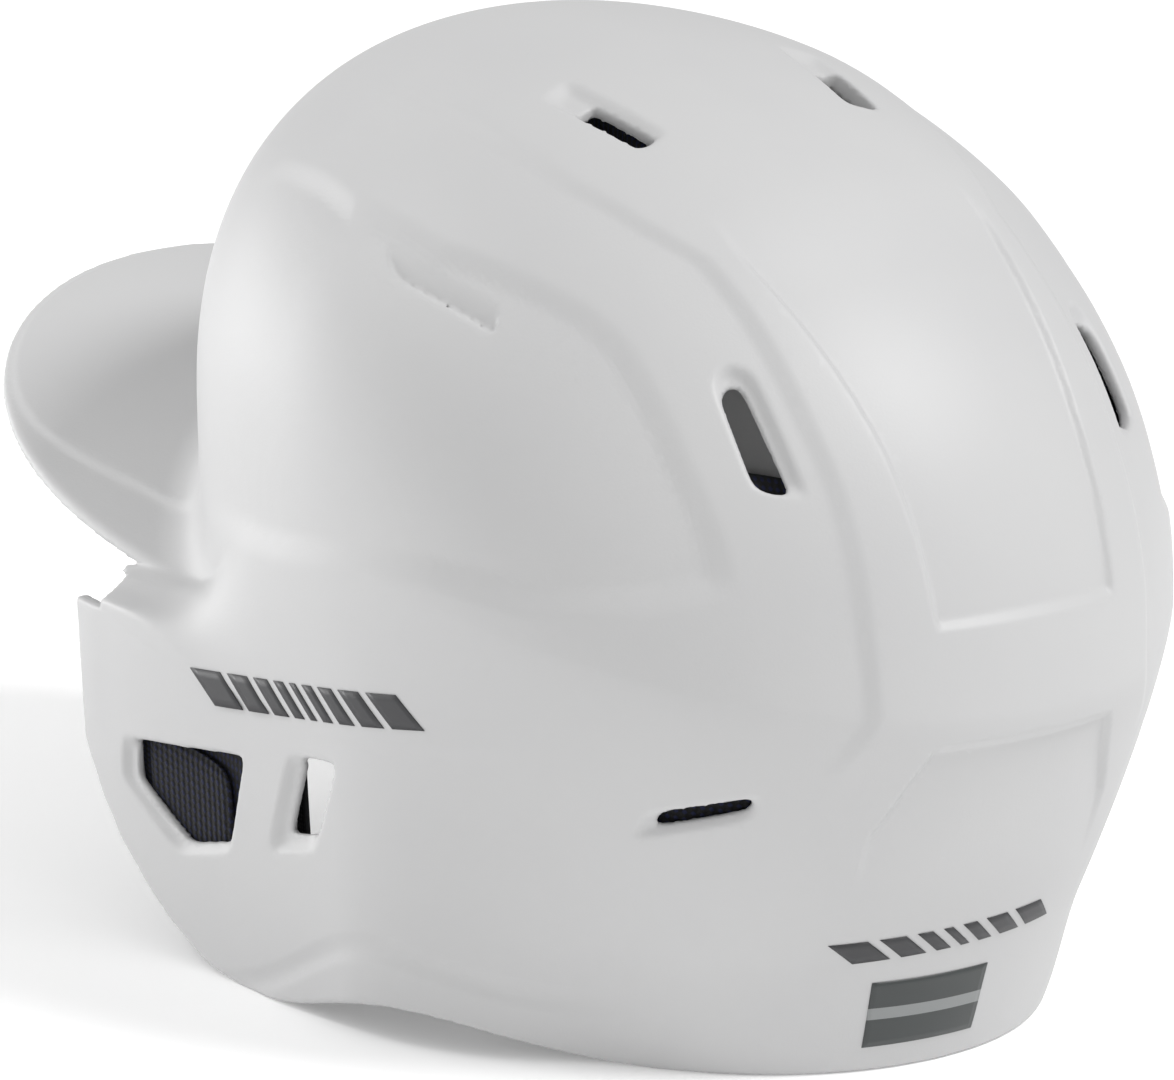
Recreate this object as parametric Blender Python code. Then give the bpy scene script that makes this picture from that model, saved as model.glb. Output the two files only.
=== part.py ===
"""Batting helmet with two ear flaps: a moulded hard shell with a brim and vents, foam pads in two layers
with their fastening patches, and thin printed labels.

Metres, +Z up. The brim points along -Y and the wearer's left is +X. Z is zero on the plane the helmet rests on.
"""
import math

import bmesh
import bpy
import numpy as np
from mathutils import Matrix

# The dome is described upright on its own axis, then the whole helmet settles on its rim: it turns about X
# until the plane through the ear flaps and the nape is level, and moves until that plane is z = 0.
SETTLE_DEG = 3.5
REST_Z = 0.00547
SETTLE_SHIFT_Y = 0.0416

# Dome: a superellipse plan below a tilted equator, with a rounded crown above it.
HALF_WIDTH = 0.1045
REAR_REACH = 0.1219
FRONT_REACH = 0.1162
PLAN_POWER = 2.04
CROWN_RISE = 0.0972
CROWN_POWER = 2.27
FRONT_CROWN_POWER = 2.19
EQUATOR_Z = 0.1187
EQUATOR_TILT = 0.2545

# Lower sides: how far the wall draws in towards the rim, and the flared band at the nape.
SIDE_TAPER = 0.045
REAR_TAPER = 0.286
TAPER_FULL_AT = 0.75
TAPER_POWER = 1.27
NAPE_FLARE = 0.030
FLARE_TOP_Z = 0.03

# Ear flaps: their plan runs straighter forward than the dome's, and steps in under the brim.
FLAP_PLAN_POWER = 4.0
FLAP_REACH = 0.147
FLAP_STEP_FRONT = (0.0885, 0.0960)
FLAP_STEP_REAR = (0.072, 0.118)
FLAP_STEP_FADE_Y = (-0.062, -0.040)

# Shell wall.
WALL = 0.0033
RIM_OVERRUN = 0.012
SHELL_COLUMNS = 72
SHELL_UPPER_ROWS = 13
SHELL_LOWER_ROWS = 11
CAVITY_COLUMNS = 44
CAVITY_UPPER_ROWS = 9
CAVITY_LOWER_ROWS = 7

# Brim.
BRIM_HALF_WIDTH = 0.0890
BRIM_TIP_Y = -0.1909
BRIM_CENTRE_Y = -0.060
BRIM_PLAN_POWER = 2.84
BRIM_TIP_Z = 0.1434
BRIM_SLOPE = -0.18
BRIM_DROP = 0.0256
BRIM_DROP_AT_X = 0.088
BRIM_DROP_POWER = 2.03
BRIM_THICKNESS = 0.0032
BRIM_ROOT_SHARE = 0.35
BRIM_COLUMNS = 28
BRIM_ROWS = 7

# Face opening and rim, as seen from the side.
OPENING_BACK_Y = -0.0885
OPENING_LIP = 0.0060
FLAP_TOP_Z = 0.0905
FLAP_FRONT_Y = -0.1010
FLAP_CHIN_YZ = ((-0.050, 0.0110), (-0.063, 0.0180), (-0.073, 0.0252), (-0.0825, 0.0330), (-0.0900, 0.0410), (-0.0995, 0.0540))
FLAP_CHIN_Y = -0.0380
RIM_ARCH_HEIGHT = 0.0085
RIM_ARCH_CENTRE_Y = 0.016
RIM_ARCH_HALF_LENGTH = 0.045
RIM_ARCH_STEPS = 10
REACH = 0.16

# Recessed panels in the outer face.
PANEL_DEPTH = 0.0013
SCOOP_DEPTH = 0.0024
SIDE_PANEL_YZ = (
    (-0.062, 0.186), (-0.019, 0.190), (0.011, 0.185), (0.033, 0.180), (0.050, 0.173),
    (0.062, 0.163), (0.080, 0.145), (0.089, 0.126), (0.081, 0.117), (0.058, 0.114),
    (0.032, 0.117), (-0.023, 0.115), (-0.062, 0.122),
)
REAR_PANEL_XZ = ((0.036, 0.186), (0.033, 0.170), (0.0285, 0.146), (0.027, 0.126), (0.026, 0.109))
REAR_PANEL_MIN_Y = 0.03
NAPE_PANEL_XZ = ((0.026, 0.081), (0.035, 0.060), (0.033, 0.036))

# Vents on the left side, as corner points of each opening; the right side mirrors them.
TOP_VENT_XY = ((0.0320, 0.0075), (0.0398, 0.0095), (0.0375, 0.0285), (0.0305, 0.0270))
SIDE_SCOOP = ((0.083, -0.007, 0.1860), (0.0875, 0.002, 0.1785), (0.084, 0.0325, 0.1700), (0.079, 0.031, 0.1760))
SCOOP_HEADING = (0.80, 0.05, 0.60)
REAR_VENT = (
    (0.0527, 0.0789, 0.1614), (0.0561, 0.0790, 0.1585), (0.0567, 0.0915, 0.1401),
    (0.0544, 0.0939, 0.1388), (0.0503, 0.0966, 0.1384), (0.0510, 0.0806, 0.1608),
)
EAR_VENT_YZ = ((-0.0755, 0.0587), (-0.0325, 0.0631), (-0.0380, 0.0417), (-0.0560, 0.0377), (-0.0762, 0.0495))
EAR_SLOT_YZ = ((-0.0116, 0.0671), (0.0013, 0.0681), (-0.0053, 0.0500), (-0.0180, 0.0475))
LOW_SLOT = ((0.0725, 0.0751, 0.0627), (0.0721, 0.0780, 0.0670), (0.0587, 0.0949, 0.0713), (0.0588, 0.0934, 0.0679))
VENT_REACH_IN = 0.03
VENT_REACH_OUT = 0.05

# Linings: gaps and layer depths, measured inwards from the cavity wall.
FASTENER_START = 0.0010
FASTENER_DEPTH = 0.0012
FOAM_START = 0.0030
FOAM_DEPTH = 0.0080
LAYER_GAP = 0.0003
COMFORT_DEPTH = 0.0060
COMFORT_DRAW_IN = 0.14
CORNER_DRAW_IN = 0.12
SHOULDER_SHARE = 0.6
FASTENER_SHARE = 0.55
FASTENER_DROP = 0.18

# Printed labels: thin film just clear of the shell.
FILM_GAP = 0.0003
FILM_DEPTH = 0.0003

COLOURS = {
    "shell": (0.80, 0.80, 0.80),
    "foam": (0.030, 0.030, 0.032),
    "comfort": (0.015, 0.015, 0.018),
    "fastener": (0.05, 0.05, 0.05),
    "side_print": (0.03, 0.03, 0.035),
    "rear_print": (0.04, 0.09, 0.42),
}
ROUGHNESS = {"shell": 0.5, "foam": 0.9, "comfort": 0.95, "fastener": 0.9, "side_print": 0.45, "rear_print": 0.4}


def clear_scene():
    for obj in list(bpy.data.objects):
        bpy.data.objects.remove(obj)


def smooth(low, high, value):
    share = np.clip((value - low) / (high - low), 0, 1)
    return share * share * (3 - 2 * share)


def plan_radius(azimuth, z, offset):
    """Distance of the outer face from the dome's axis, less the offset. Azimuth is zero at the rear."""
    side = abs(math.sin(azimuth))
    rear = math.cos(azimuth)
    reach = REAR_REACH if rear >= 0 else FRONT_REACH
    dome = ((side / HALF_WIDTH) ** PLAN_POWER + (abs(rear) / reach) ** PLAN_POWER) ** (-1 / PLAN_POWER)
    if rear >= 0:
        return dome - offset
    flap = ((side / HALF_WIDTH) ** FLAP_PLAN_POWER + (abs(rear) / FLAP_REACH) ** FLAP_PLAN_POWER) ** (
        -1 / FLAP_PLAN_POWER
    )
    fade = smooth(*FLAP_STEP_FADE_Y, dome * rear)
    low = FLAP_STEP_FRONT[0] + (FLAP_STEP_REAR[0] - FLAP_STEP_FRONT[0]) * fade
    high = FLAP_STEP_FRONT[1] + (FLAP_STEP_REAR[1] - FLAP_STEP_FRONT[1]) * fade
    share = smooth(low - offset, high - offset, z)
    return flap + (dome - flap) * share - offset


def crown_power(rear):
    return FRONT_CROWN_POWER + (CROWN_POWER - FRONT_CROWN_POWER) * smooth(-0.9, 0.1, rear)


def surface_point(azimuth, level, offset):
    """A point of the outer face moved inwards by the offset.

    Level runs from 0 at the crown to 1 at the equator, and on to 2 just below the resting plane.
    """
    rear = math.cos(azimuth)
    equator_y = plan_radius(azimuth, 1.0, 0.0) * rear
    equator = EQUATOR_Z - EQUATOR_TILT * equator_y
    if level <= 1:
        angle = level * math.pi / 2
        power = 2 / crown_power(rear)
        radius = plan_radius(azimuth, equator, offset) * math.sin(angle) ** power
        rise = (CROWN_RISE - offset) * max(math.cos(angle), 0.0) ** power
        y = radius * rear
        return radius * math.sin(azimuth), y, EQUATOR_Z + rise - EQUATOR_TILT * y
    z = equator - (equator + RIM_OVERRUN) * (level - 1)
    depth = (equator - z) / equator
    taper = SIDE_TAPER + (REAR_TAPER - SIDE_TAPER) * smooth(0.0, TAPER_FULL_AT, rear)
    share = 1 - taper * depth**TAPER_POWER + NAPE_FLARE * smooth(0.2, 0.9, rear) * smooth(FLARE_TOP_Z, 0.0, z)
    radius = plan_radius(azimuth, z, 0.0) * share - offset
    if rear < 0:
        radius = plan_radius(azimuth, z, offset) + (share - 1) * plan_radius(azimuth, z, 0.0)
    return radius * math.sin(azimuth), radius * rear, z


def level_at(azimuth, z):
    """The level of a height below the equator."""
    equator_y = plan_radius(azimuth, 1.0, 0.0) * math.cos(azimuth)
    equator = EQUATOR_Z - EQUATOR_TILT * equator_y
    return 1 + (equator - z) / (equator + RIM_OVERRUN)


def crown_point(x, y, offset):
    """A point of the crown by its plan position."""
    reach = (REAR_REACH if y >= 0 else FRONT_REACH) - offset
    share = ((abs(x) / (HALF_WIDTH - offset)) ** PLAN_POWER + (abs(y) / reach) ** PLAN_POWER) ** (1 / PLAN_POWER)
    power = crown_power(y / max(math.hypot(x, y), 1e-6))
    rise = (CROWN_RISE - offset) * (1 - share**power) ** (1 / power)
    return x, y, EQUATOR_Z + rise - EQUATOR_TILT * y


def new_object(name, points, faces):
    mesh = bpy.data.meshes.new(name)
    mesh.from_pydata([tuple(point) for point in points], [], faces)
    work = bmesh.new()
    work.from_mesh(mesh)
    bmesh.ops.recalc_face_normals(work, faces=work.faces)
    work.to_mesh(mesh)
    work.free()
    obj = bpy.data.objects.new(name, mesh)
    bpy.context.scene.collection.objects.link(obj)
    return obj


def closed_dome(name, columns, upper_rows, lower_rows, offset):
    """The dome as a solid, closed below the resting plane."""
    levels = [(row + 1) / upper_rows for row in range(upper_rows)]
    levels += [1 + (row + 1) / lower_rows for row in range(lower_rows)]
    points = [surface_point(0.0, 0.0, offset)]
    for level in levels:
        points += [surface_point(2 * math.pi * column / columns, level, offset) for column in range(columns)]
    points.append((0.0, 0.0, -RIM_OVERRUN))
    last = len(points) - 1
    faces = []
    for column in range(columns):
        follower = (column + 1) % columns
        faces.append((0, 1 + column, 1 + follower))
        for row in range(len(levels) - 1):
            upper = 1 + row * columns
            lower = upper + columns
            faces.append((upper + column, lower + column, lower + follower, upper + follower))
        base = 1 + (len(levels) - 1) * columns
        faces.append((base + column, last, base + follower))
    return new_object(name, points, faces)


def brim_height(x, y):
    """Height of the brim's upper face."""
    drop = BRIM_DROP * (abs(x) / BRIM_DROP_AT_X) ** BRIM_DROP_POWER
    return BRIM_TIP_Z + BRIM_SLOPE * (y - BRIM_TIP_Y) - drop


def brim_plate():
    """The brim as a plate that starts inside the dome."""
    power = 2 / BRIM_PLAN_POWER
    points = []
    for row in range(BRIM_ROWS + 1):
        share = BRIM_ROOT_SHARE + (1 - BRIM_ROOT_SHARE) * row / BRIM_ROWS
        for column in range(BRIM_COLUMNS + 1):
            turn = math.pi * (column / BRIM_COLUMNS - 0.5)
            x = share * BRIM_HALF_WIDTH * math.copysign(abs(math.sin(turn)) ** power, math.sin(turn))
            y = BRIM_CENTRE_Y + share * (BRIM_TIP_Y - BRIM_CENTRE_Y) * max(math.cos(turn), 0.0) ** power
            points.append((x, y, brim_height(x, y)))
    width = BRIM_COLUMNS + 1
    faces = []
    for row in range(BRIM_ROWS):
        for column in range(BRIM_COLUMNS):
            first = row * width + column
            faces.append((first, first + 1, first + width + 1, first + width))
    plate = new_object("brim_plate", points, faces)
    if plate.data.polygons[0].normal.z < 0:
        plate.data.flip_normals()
    thicken = plate.modifiers.new("thickness", "SOLIDIFY")
    thicken.thickness = BRIM_THICKNESS
    thicken.offset = -1
    apply_modifiers(plate)
    return plate


def apply_modifiers(obj):
    graph = bpy.context.evaluated_depsgraph_get()
    mesh = bpy.data.meshes.new_from_object(obj.evaluated_get(graph))
    obj.modifiers.clear()
    obj.data = mesh


def combine(target, other, operation):
    """Joins the other solid to the target, or cuts it away, and drops the other."""
    boolean = target.modifiers.new(operation.lower(), "BOOLEAN")
    boolean.operation = operation
    boolean.solver = "EXACT"
    boolean.object = other
    other.hide_render = True
    other.display_type = "WIRE"
    bpy.context.view_layer.update()
    apply_modifiers(target)
    bpy.data.objects.remove(other)


def prism(name, corners, direction_in, direction_out):
    """A solid between the corner loop moved one way and the same loop moved the other way."""
    count = len(corners)
    inner = [np.array(corner) + np.array(direction_in) for corner in corners]
    outer = [np.array(corner) + np.array(direction_out) for corner in corners]
    faces = [tuple(range(count)), tuple(range(2 * count - 1, count - 1, -1))]
    for index in range(count):
        follower = (index + 1) % count
        faces.append((index, follower, count + follower, count + index))
    return new_object(name, inner + outer, faces)


def side_profile_prism(name, profile):
    """A prism right across the helmet from a side profile."""
    corners = [(0.0, y, z) for y, z in profile]
    return prism(name, corners, (-REACH, 0, 0), (REACH, 0, 0))


def rest_z(y):
    """Height of the resting plane before the helmet settles."""
    return REST_Z - math.tan(math.radians(SETTLE_DEG)) * y


def rim_cutter():
    """Trims the rim: flat on the resting plane, a low arch behind each ear flap, and the flap's front edge."""
    profile = [(-2 * REACH, -REACH), (2 * REACH, -REACH), (2 * REACH, rest_z(2 * REACH))]
    for step in range(RIM_ARCH_STEPS + 1):
        share = 1 - 2 * step / RIM_ARCH_STEPS
        y = RIM_ARCH_CENTRE_Y + share * RIM_ARCH_HALF_LENGTH
        profile.append((y, rest_z(y) + RIM_ARCH_HEIGHT * math.cos(share * math.pi / 2) ** 2))
    profile.append((FLAP_CHIN_Y, rest_z(FLAP_CHIN_Y)))
    profile += list(FLAP_CHIN_YZ)
    profile += [(FLAP_FRONT_Y, FLAP_TOP_Z), (-2 * REACH, FLAP_TOP_Z)]
    return side_profile_prism("rim_cutter", profile)


def under_brim_cutter():
    """Clears the wall in front, from the flaps' tops to just under the brim."""
    columns = 24
    rows = 8
    half = HALF_WIDTH + 0.02
    front_y = BRIM_TIP_Y - 0.03
    points = []
    for top in (False, True):
        for row in range(rows + 1):
            y = OPENING_BACK_Y + (front_y - OPENING_BACK_Y) * row / rows
            for column in range(columns + 1):
                x = half * (2 * column / columns - 1)
                roof = max(brim_height(min(abs(x), BRIM_DROP_AT_X), y) - OPENING_LIP, FLAP_TOP_Z + 0.002)
                points.append((x, y, roof if top else FLAP_TOP_Z - 0.0031))
    width = columns + 1
    layer = width * (rows + 1)
    faces = []
    for row in range(rows):
        for column in range(columns):
            first = row * width + column
            quad = (first, first + 1, first + width + 1, first + width)
            faces.append(quad)
            faces.append(tuple(layer + index for index in reversed(quad)))
    loop = list(range(width))
    loop += [row * width + columns for row in range(1, rows + 1)]
    loop += [rows * width + column for column in range(columns - 1, -1, -1)]
    loop += [row * width for row in range(rows - 1, 0, -1)]
    for index, first in enumerate(loop):
        follower = loop[(index + 1) % len(loop)]
        faces.append((first, follower, layer + follower, layer + first))
    return new_object("under_brim_cutter", points, faces)


def panel_cutter(name, corners, direction_in, direction_out, depth=PANEL_DEPTH):
    """A skin of the given depth, as wide as the corner loop."""
    cutter = prism(name, corners, direction_in, direction_out)
    core = closed_dome("core", SHELL_COLUMNS, SHELL_UPPER_ROWS, SHELL_LOWER_ROWS, depth)
    combine(cutter, core, "DIFFERENCE")
    return cutter


def mirrored(corners, side):
    return [(side * x, y, z) for x, y, z in corners]


def vent_cutters(side):
    """The five openings of one side, each as a prism along its own wall's direction."""
    top = [(x, y, 0.21) for x, y in TOP_VENT_XY]
    ear = [(0.103, y, z) for y, z in EAR_VENT_YZ]
    slot = [(0.105, y, z) for y, z in EAR_SLOT_YZ]
    rows = (
        ("top_vent", top, (0.25, 0.05, 1.0)),
        ("rear_vent", REAR_VENT, (0.50, 0.75, 0.35)),
        ("ear_vent", ear, (1.0, 0.0, 0.0)),
        ("ear_slot", slot, (1.0, 0.0, 0.0)),
        ("low_slot", LOW_SLOT, (0.65, 0.75, -0.05)),
    )
    cutters = []
    for name, corners, heading in rows:
        heading = np.array(heading) * (side, 1, 1)
        heading = heading / np.linalg.norm(heading)
        cutters.append(prism(name, mirrored(corners, side), -VENT_REACH_IN * heading, VENT_REACH_OUT * heading))
    return cutters


def tidy(obj):
    """Merges stray points left by the cuts and makes every face a triangle."""
    work = bmesh.new()
    work.from_mesh(obj.data)
    bmesh.ops.remove_doubles(work, verts=work.verts, dist=2e-5)
    bmesh.ops.dissolve_degenerate(work, edges=work.edges, dist=1e-5)
    bmesh.ops.triangulate(work, faces=work.faces)
    bmesh.ops.recalc_face_normals(work, faces=work.faces)
    work.to_mesh(obj.data)
    work.free()


def make_shell():
    shell = closed_dome("helmet_shell", SHELL_COLUMNS, SHELL_UPPER_ROWS, SHELL_LOWER_ROWS, 0.0)
    panels = []
    for side in (-1, 1):
        corners = [(side * 0.02, y, z) for y, z in SIDE_PANEL_YZ]
        panels.append(panel_cutter("side_panel", corners, (0, 0, 0), (side * 0.12, 0, 0)))
        heading = np.array(SCOOP_HEADING) * (side, 1, 1)
        corners = mirrored(SIDE_SCOOP, side)
        panels.append(panel_cutter("side_scoop", corners, -0.01 * heading, 0.02 * heading, SCOOP_DEPTH))
    for name, outline in (("rear_panel", REAR_PANEL_XZ), ("nape_panel", NAPE_PANEL_XZ)):
        loop = [(x, z) for x, z in outline] + [(-x, z) for x, z in reversed(outline)]
        corners = [(x, REAR_PANEL_MIN_Y, z) for x, z in loop]
        panels.append(panel_cutter(name, corners, (0, 0, 0), (0, 0.12, 0)))
    for panel in panels:
        combine(shell, panel, "DIFFERENCE")
    combine(shell, brim_plate(), "UNION")
    for cutter in (rim_cutter(), under_brim_cutter()):
        combine(shell, cutter, "DIFFERENCE")
    cavity = closed_dome("cavity", CAVITY_COLUMNS, CAVITY_UPPER_ROWS, CAVITY_LOWER_ROWS, WALL)
    lower_cavity(cavity)
    combine(shell, cavity, "DIFFERENCE")
    tidy(shell)
    for side in (-1, 1):
        for cutter in vent_cutters(side):
            combine(shell, cutter, "DIFFERENCE")
    tidy(shell)
    return shell


def lower_cavity(cavity):
    """Moves the cavity's closing face further down than the shell's, so the rim stays open."""
    for vertex in cavity.data.vertices:
        if vertex.co.z < -RIM_OVERRUN + 1e-5:
            vertex.co.z = -RIM_OVERRUN - 0.01


def patch(name, place, columns, rows, near, far, bevel):
    """A slab between two offsets of a curved wall.

    place(across, along, offset) gives a point, with across and along from -1 to 1. The corners are rounded
    and the far face is drawn in by the bevel share.
    """
    shoulder = near + (far - near) * SHOULDER_SHARE
    layers = ((near, 1.0), (shoulder, 1.0), (far, 1.0 - bevel)) if bevel else ((near, 1), (far, 1))
    width = columns + 1
    count = width * (rows + 1)
    points = []
    for offset, share in layers:
        for row in range(rows + 1):
            for column in range(width):
                across = 2 * column / columns - 1
                along = 2 * row / rows - 1
                pull = 1 - CORNER_DRAW_IN * (across * along) ** 4
                points.append(place(across * pull * share, along * pull * share, offset))
    faces = []
    top = (len(layers) - 1) * count
    for row in range(rows):
        for column in range(columns):
            first = row * width + column
            corner = first + width + 1
            for triangle in ((first, first + 1, corner), (first, corner, first + width)):
                faces.append(triangle)
                faces.append(tuple(top + index for index in reversed(triangle)))
    loop = list(range(width))
    loop += [row * width + columns for row in range(1, rows + 1)]
    loop += [rows * width + column for column in range(columns - 1, -1, -1)]
    loop += [row * width for row in range(rows - 1, 0, -1)]
    for layer in range(len(layers) - 1):
        for index, first in enumerate(loop):
            follower = loop[(index + 1) % len(loop)]
            low = layer * count
            faces.append((low + first, low + follower, low + count + follower, low + count + first))
    return new_object(name, points, faces)


def wall_place(centre_deg, half_deg, top_z, low_z, lean):
    """Places a patch on the wall by azimuth and by heights below the equator; the lean cuts its front low corner."""

    def place(across, along, offset):
        azimuth = math.radians(centre_deg + half_deg * across)
        middle = (top_z + low_z) / 2
        half = (top_z - low_z) / 2
        z = middle + half * along + lean * (across + 1) / 2 * (1 - along) / 2
        return surface_point(azimuth, level_at(azimuth, z), offset)

    return place


def banner_place(centre_deg, half_deg, middle_z, half_z, rise):
    """Places a label on the wall by azimuth, with its height changing by the rise from its middle to its end."""

    def place(across, along, offset):
        azimuth = math.radians(centre_deg + half_deg * across)
        return surface_point(azimuth, level_at(azimuth, middle_z + half_z * along + rise * across), offset)

    return place


def dome_place(centre_deg, half_deg, top_level, low_level):
    """Places a patch on the dome by azimuth and level."""

    def place(across, along, offset):
        azimuth = math.radians(centre_deg + half_deg * across)
        level = (top_level + low_level) / 2 - (low_level - top_level) / 2 * along
        return surface_point(azimuth, level, offset)

    return place


def crown_place(half_width, front_y, rear_y):
    """Places a patch across the crown by its plan position."""

    def place(across, along, offset):
        y = (front_y + rear_y) / 2 + (rear_y - front_y) / 2 * along
        return crown_point(half_width * across, y, offset)

    return place


def flipped(place):
    """The same patch on the wearer's right."""

    def other(across, along, offset):
        x, y, z = place(across, along, offset)
        return -x, y, z

    return other


def pad_places():
    """Each lining's name, place on the wall and grid."""
    sides = (
        ("temple", dome_place(120, 15, 0.60, 1.06), 4, 4),
        ("upper_side", dome_place(80, 21, 0.40, 1.02), 5, 4),
        ("rear_side", dome_place(35, 20, 0.70, 1.48), 5, 5),
        ("ear_rear", wall_place(71, 12, 0.094, 0.020, 0.0), 3, 4),
        ("jaw", wall_place(120.5, 12.5, 0.074, 0.014, 0.030), 4, 4),
    )
    rows = [
        ("forehead", dome_place(180, 40, 0.60, 1.03), 8, 4),
        ("crown", crown_place(0.025, -0.055, 0.055), 4, 6),
        ("nape", wall_place(0, 11.5, 0.092, 0.018, 0.0), 4, 4),
    ]
    for name, place, columns, count in sides:
        rows.append((name + "_left", place, columns, count))
        rows.append((name + "_right", flipped(place), columns, count))
    return rows


def make_linings():
    made = []
    foam_start = WALL + FOAM_START
    comfort_start = foam_start + FOAM_DEPTH + LAYER_GAP
    for name, place, columns, rows in pad_places():
        near = WALL + FASTENER_START
        small = lowered(place, FASTENER_SHARE)
        across = math.ceil(FASTENER_SHARE * columns) + 1
        along = math.ceil(FASTENER_SHARE * rows) + 1
        strip = patch(name + "_fastener", small, across, along, near, near + FASTENER_DEPTH, 0.0)
        made.append((strip, "fastener"))
        made.append((patch(name + "_foam", place, columns, rows, foam_start, foam_start + FOAM_DEPTH, 0.0), "foam"))
        cushion = patch(
            name + "_comfort", place, columns, rows, comfort_start, comfort_start + COMFORT_DEPTH, COMFORT_DRAW_IN
        )
        made.append((cushion, "comfort"))
    return made


def lowered(place, share):
    """A smaller patch of the same kind, a little below the middle."""

    def smaller(across, along, offset):
        return place(across * share, along * share - FASTENER_DROP, offset)

    return smaller


def make_labels():
    near = -FILM_GAP
    far = -FILM_GAP - FILM_DEPTH
    side = banner_place(94.9, 21.2, 0.0806, 0.0040, -0.0039)
    made = []
    for name, place in (("side_label_left", side), ("side_label_right", flipped(side))):
        made.append((patch(name, place, 14, 2, near, far, 0.0), "side_print"))
    made.append((patch("rear_label", banner_place(3.0, 18.3, 0.0319, 0.0027, -0.0013), 10, 2, near, far, 0.0), "side_print"))
    made.append((patch("rear_badge", banner_place(5.0, 9.3, 0.0146, 0.0081, 0.0), 6, 4, near, far, 0.0), "rear_print"))
    return made


def give_material(obj, slot):
    material = bpy.data.materials.get(slot)
    if material is None:
        material = bpy.data.materials.new(slot)
        material.use_nodes = True
        shader = material.node_tree.nodes["Principled BSDF"]
        shader.inputs["Base Color"].default_value = (*COLOURS[slot], 1)
        shader.inputs["Roughness"].default_value = ROUGHNESS[slot]
        shader.inputs["Metallic"].default_value = 0.0
        material.diffuse_color = (*COLOURS[slot], 1)
    obj.data.materials.clear()
    obj.data.materials.append(material)


def settle(obj):
    turn = Matrix.Rotation(math.radians(SETTLE_DEG), 4, "X")
    drop = REST_Z * math.cos(math.radians(SETTLE_DEG))
    obj.data.transform(Matrix.Translation((0, SETTLE_SHIFT_Y, -drop)) @ turn)


def main():
    clear_scene()
    pieces = [(make_shell(), "shell")] + make_linings() + make_labels()
    for obj, slot in pieces:
        give_material(obj, slot)
        settle(obj)
        obj.data.polygons.foreach_set("use_smooth", [slot != "shell"] * len(obj.data.polygons))


main()
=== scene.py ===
import math

import bmesh
import bpy
import numpy as np
from mathutils import Matrix, Vector


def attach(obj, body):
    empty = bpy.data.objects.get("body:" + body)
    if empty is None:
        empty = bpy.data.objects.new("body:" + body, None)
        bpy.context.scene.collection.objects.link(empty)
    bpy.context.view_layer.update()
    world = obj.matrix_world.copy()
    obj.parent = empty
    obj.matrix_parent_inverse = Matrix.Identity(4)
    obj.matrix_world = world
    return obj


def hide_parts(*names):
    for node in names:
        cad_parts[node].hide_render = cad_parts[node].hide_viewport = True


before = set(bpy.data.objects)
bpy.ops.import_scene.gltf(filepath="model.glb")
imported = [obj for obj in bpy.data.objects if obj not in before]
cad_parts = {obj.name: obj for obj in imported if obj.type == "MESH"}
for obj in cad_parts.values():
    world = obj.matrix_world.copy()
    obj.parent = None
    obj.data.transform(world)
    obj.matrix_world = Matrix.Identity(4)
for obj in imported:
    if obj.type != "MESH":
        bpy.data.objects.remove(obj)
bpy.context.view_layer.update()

# The dome is described upright on its own axis in millimetres, then the whole helmet settles on its rim.
MM = 0.001
SETTLE_DEG = 3.5
REST_Z = 5.47
SETTLE_SHIFT_Y = 41.6

# Dome.
HALF_WIDTH = 104.5
REAR_REACH = 121.9
FRONT_REACH = 116.2
PLAN_POWER = 2.04
CROWN_RISE = 97.2
CROWN_POWER = 2.27
FRONT_CROWN_POWER = 2.19
EQUATOR_Z = 118.7
EQUATOR_TILT = 0.2545
SIDE_TAPER = 0.045
REAR_TAPER = 0.286
TAPER_FULL_AT = 0.75
TAPER_POWER = 1.27
NAPE_FLARE = 0.030
FLARE_TOP_Z = 30.0
RIM_OVERRUN = 12.0
WALL = 3.3

# Ear flaps.
FLAP_PLAN_POWER = 4.0
FLAP_REACH = 147.0
FLAP_STEP_FRONT = (88.5, 96.0)
FLAP_STEP_REAR = (72.0, 118.0)
FLAP_STEP_FADE_Y = (-67.0, -28.0)
FLAP_TOP_Z = 90.5
FLAP_FRONT_Y = -101.0
FLAP_CHIN_YZ = (
    (-50.0, 11.0),
    (-63.0, 18.0),
    (-73.0, 25.2),
    (-82.5, 33.0),
    (-90.0, 41.0),
    (-99.5, 54.0),
)
FLAP_CHIN_Y = -38.0
RIM_ARCH_HEIGHT = 8.5
RIM_ARCH_CENTRE_Y = 16.0
RIM_ARCH_HALF_LENGTH = 45.0
OPENING_BACK_Y = -88.5
OPENING_LIP = 6.0
EDGE_ROUND = 0.9

# Brim.
BRIM_HALF_WIDTH = 89.0
BRIM_TIP_Y = -190.9
BRIM_CENTRE_Y = -60.0
BRIM_PLAN_POWER = 2.84
BRIM_TIP_Z = 143.4
BRIM_SLOPE = -0.18
BRIM_DROP = 25.6
BRIM_DROP_AT_X = 88.0
BRIM_DROP_POWER = 2.03
BRIM_THICKNESS = 3.2
BRIM_FILLET = 11.0
BRIM_BORDER_DEPTH = 0.7

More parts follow.
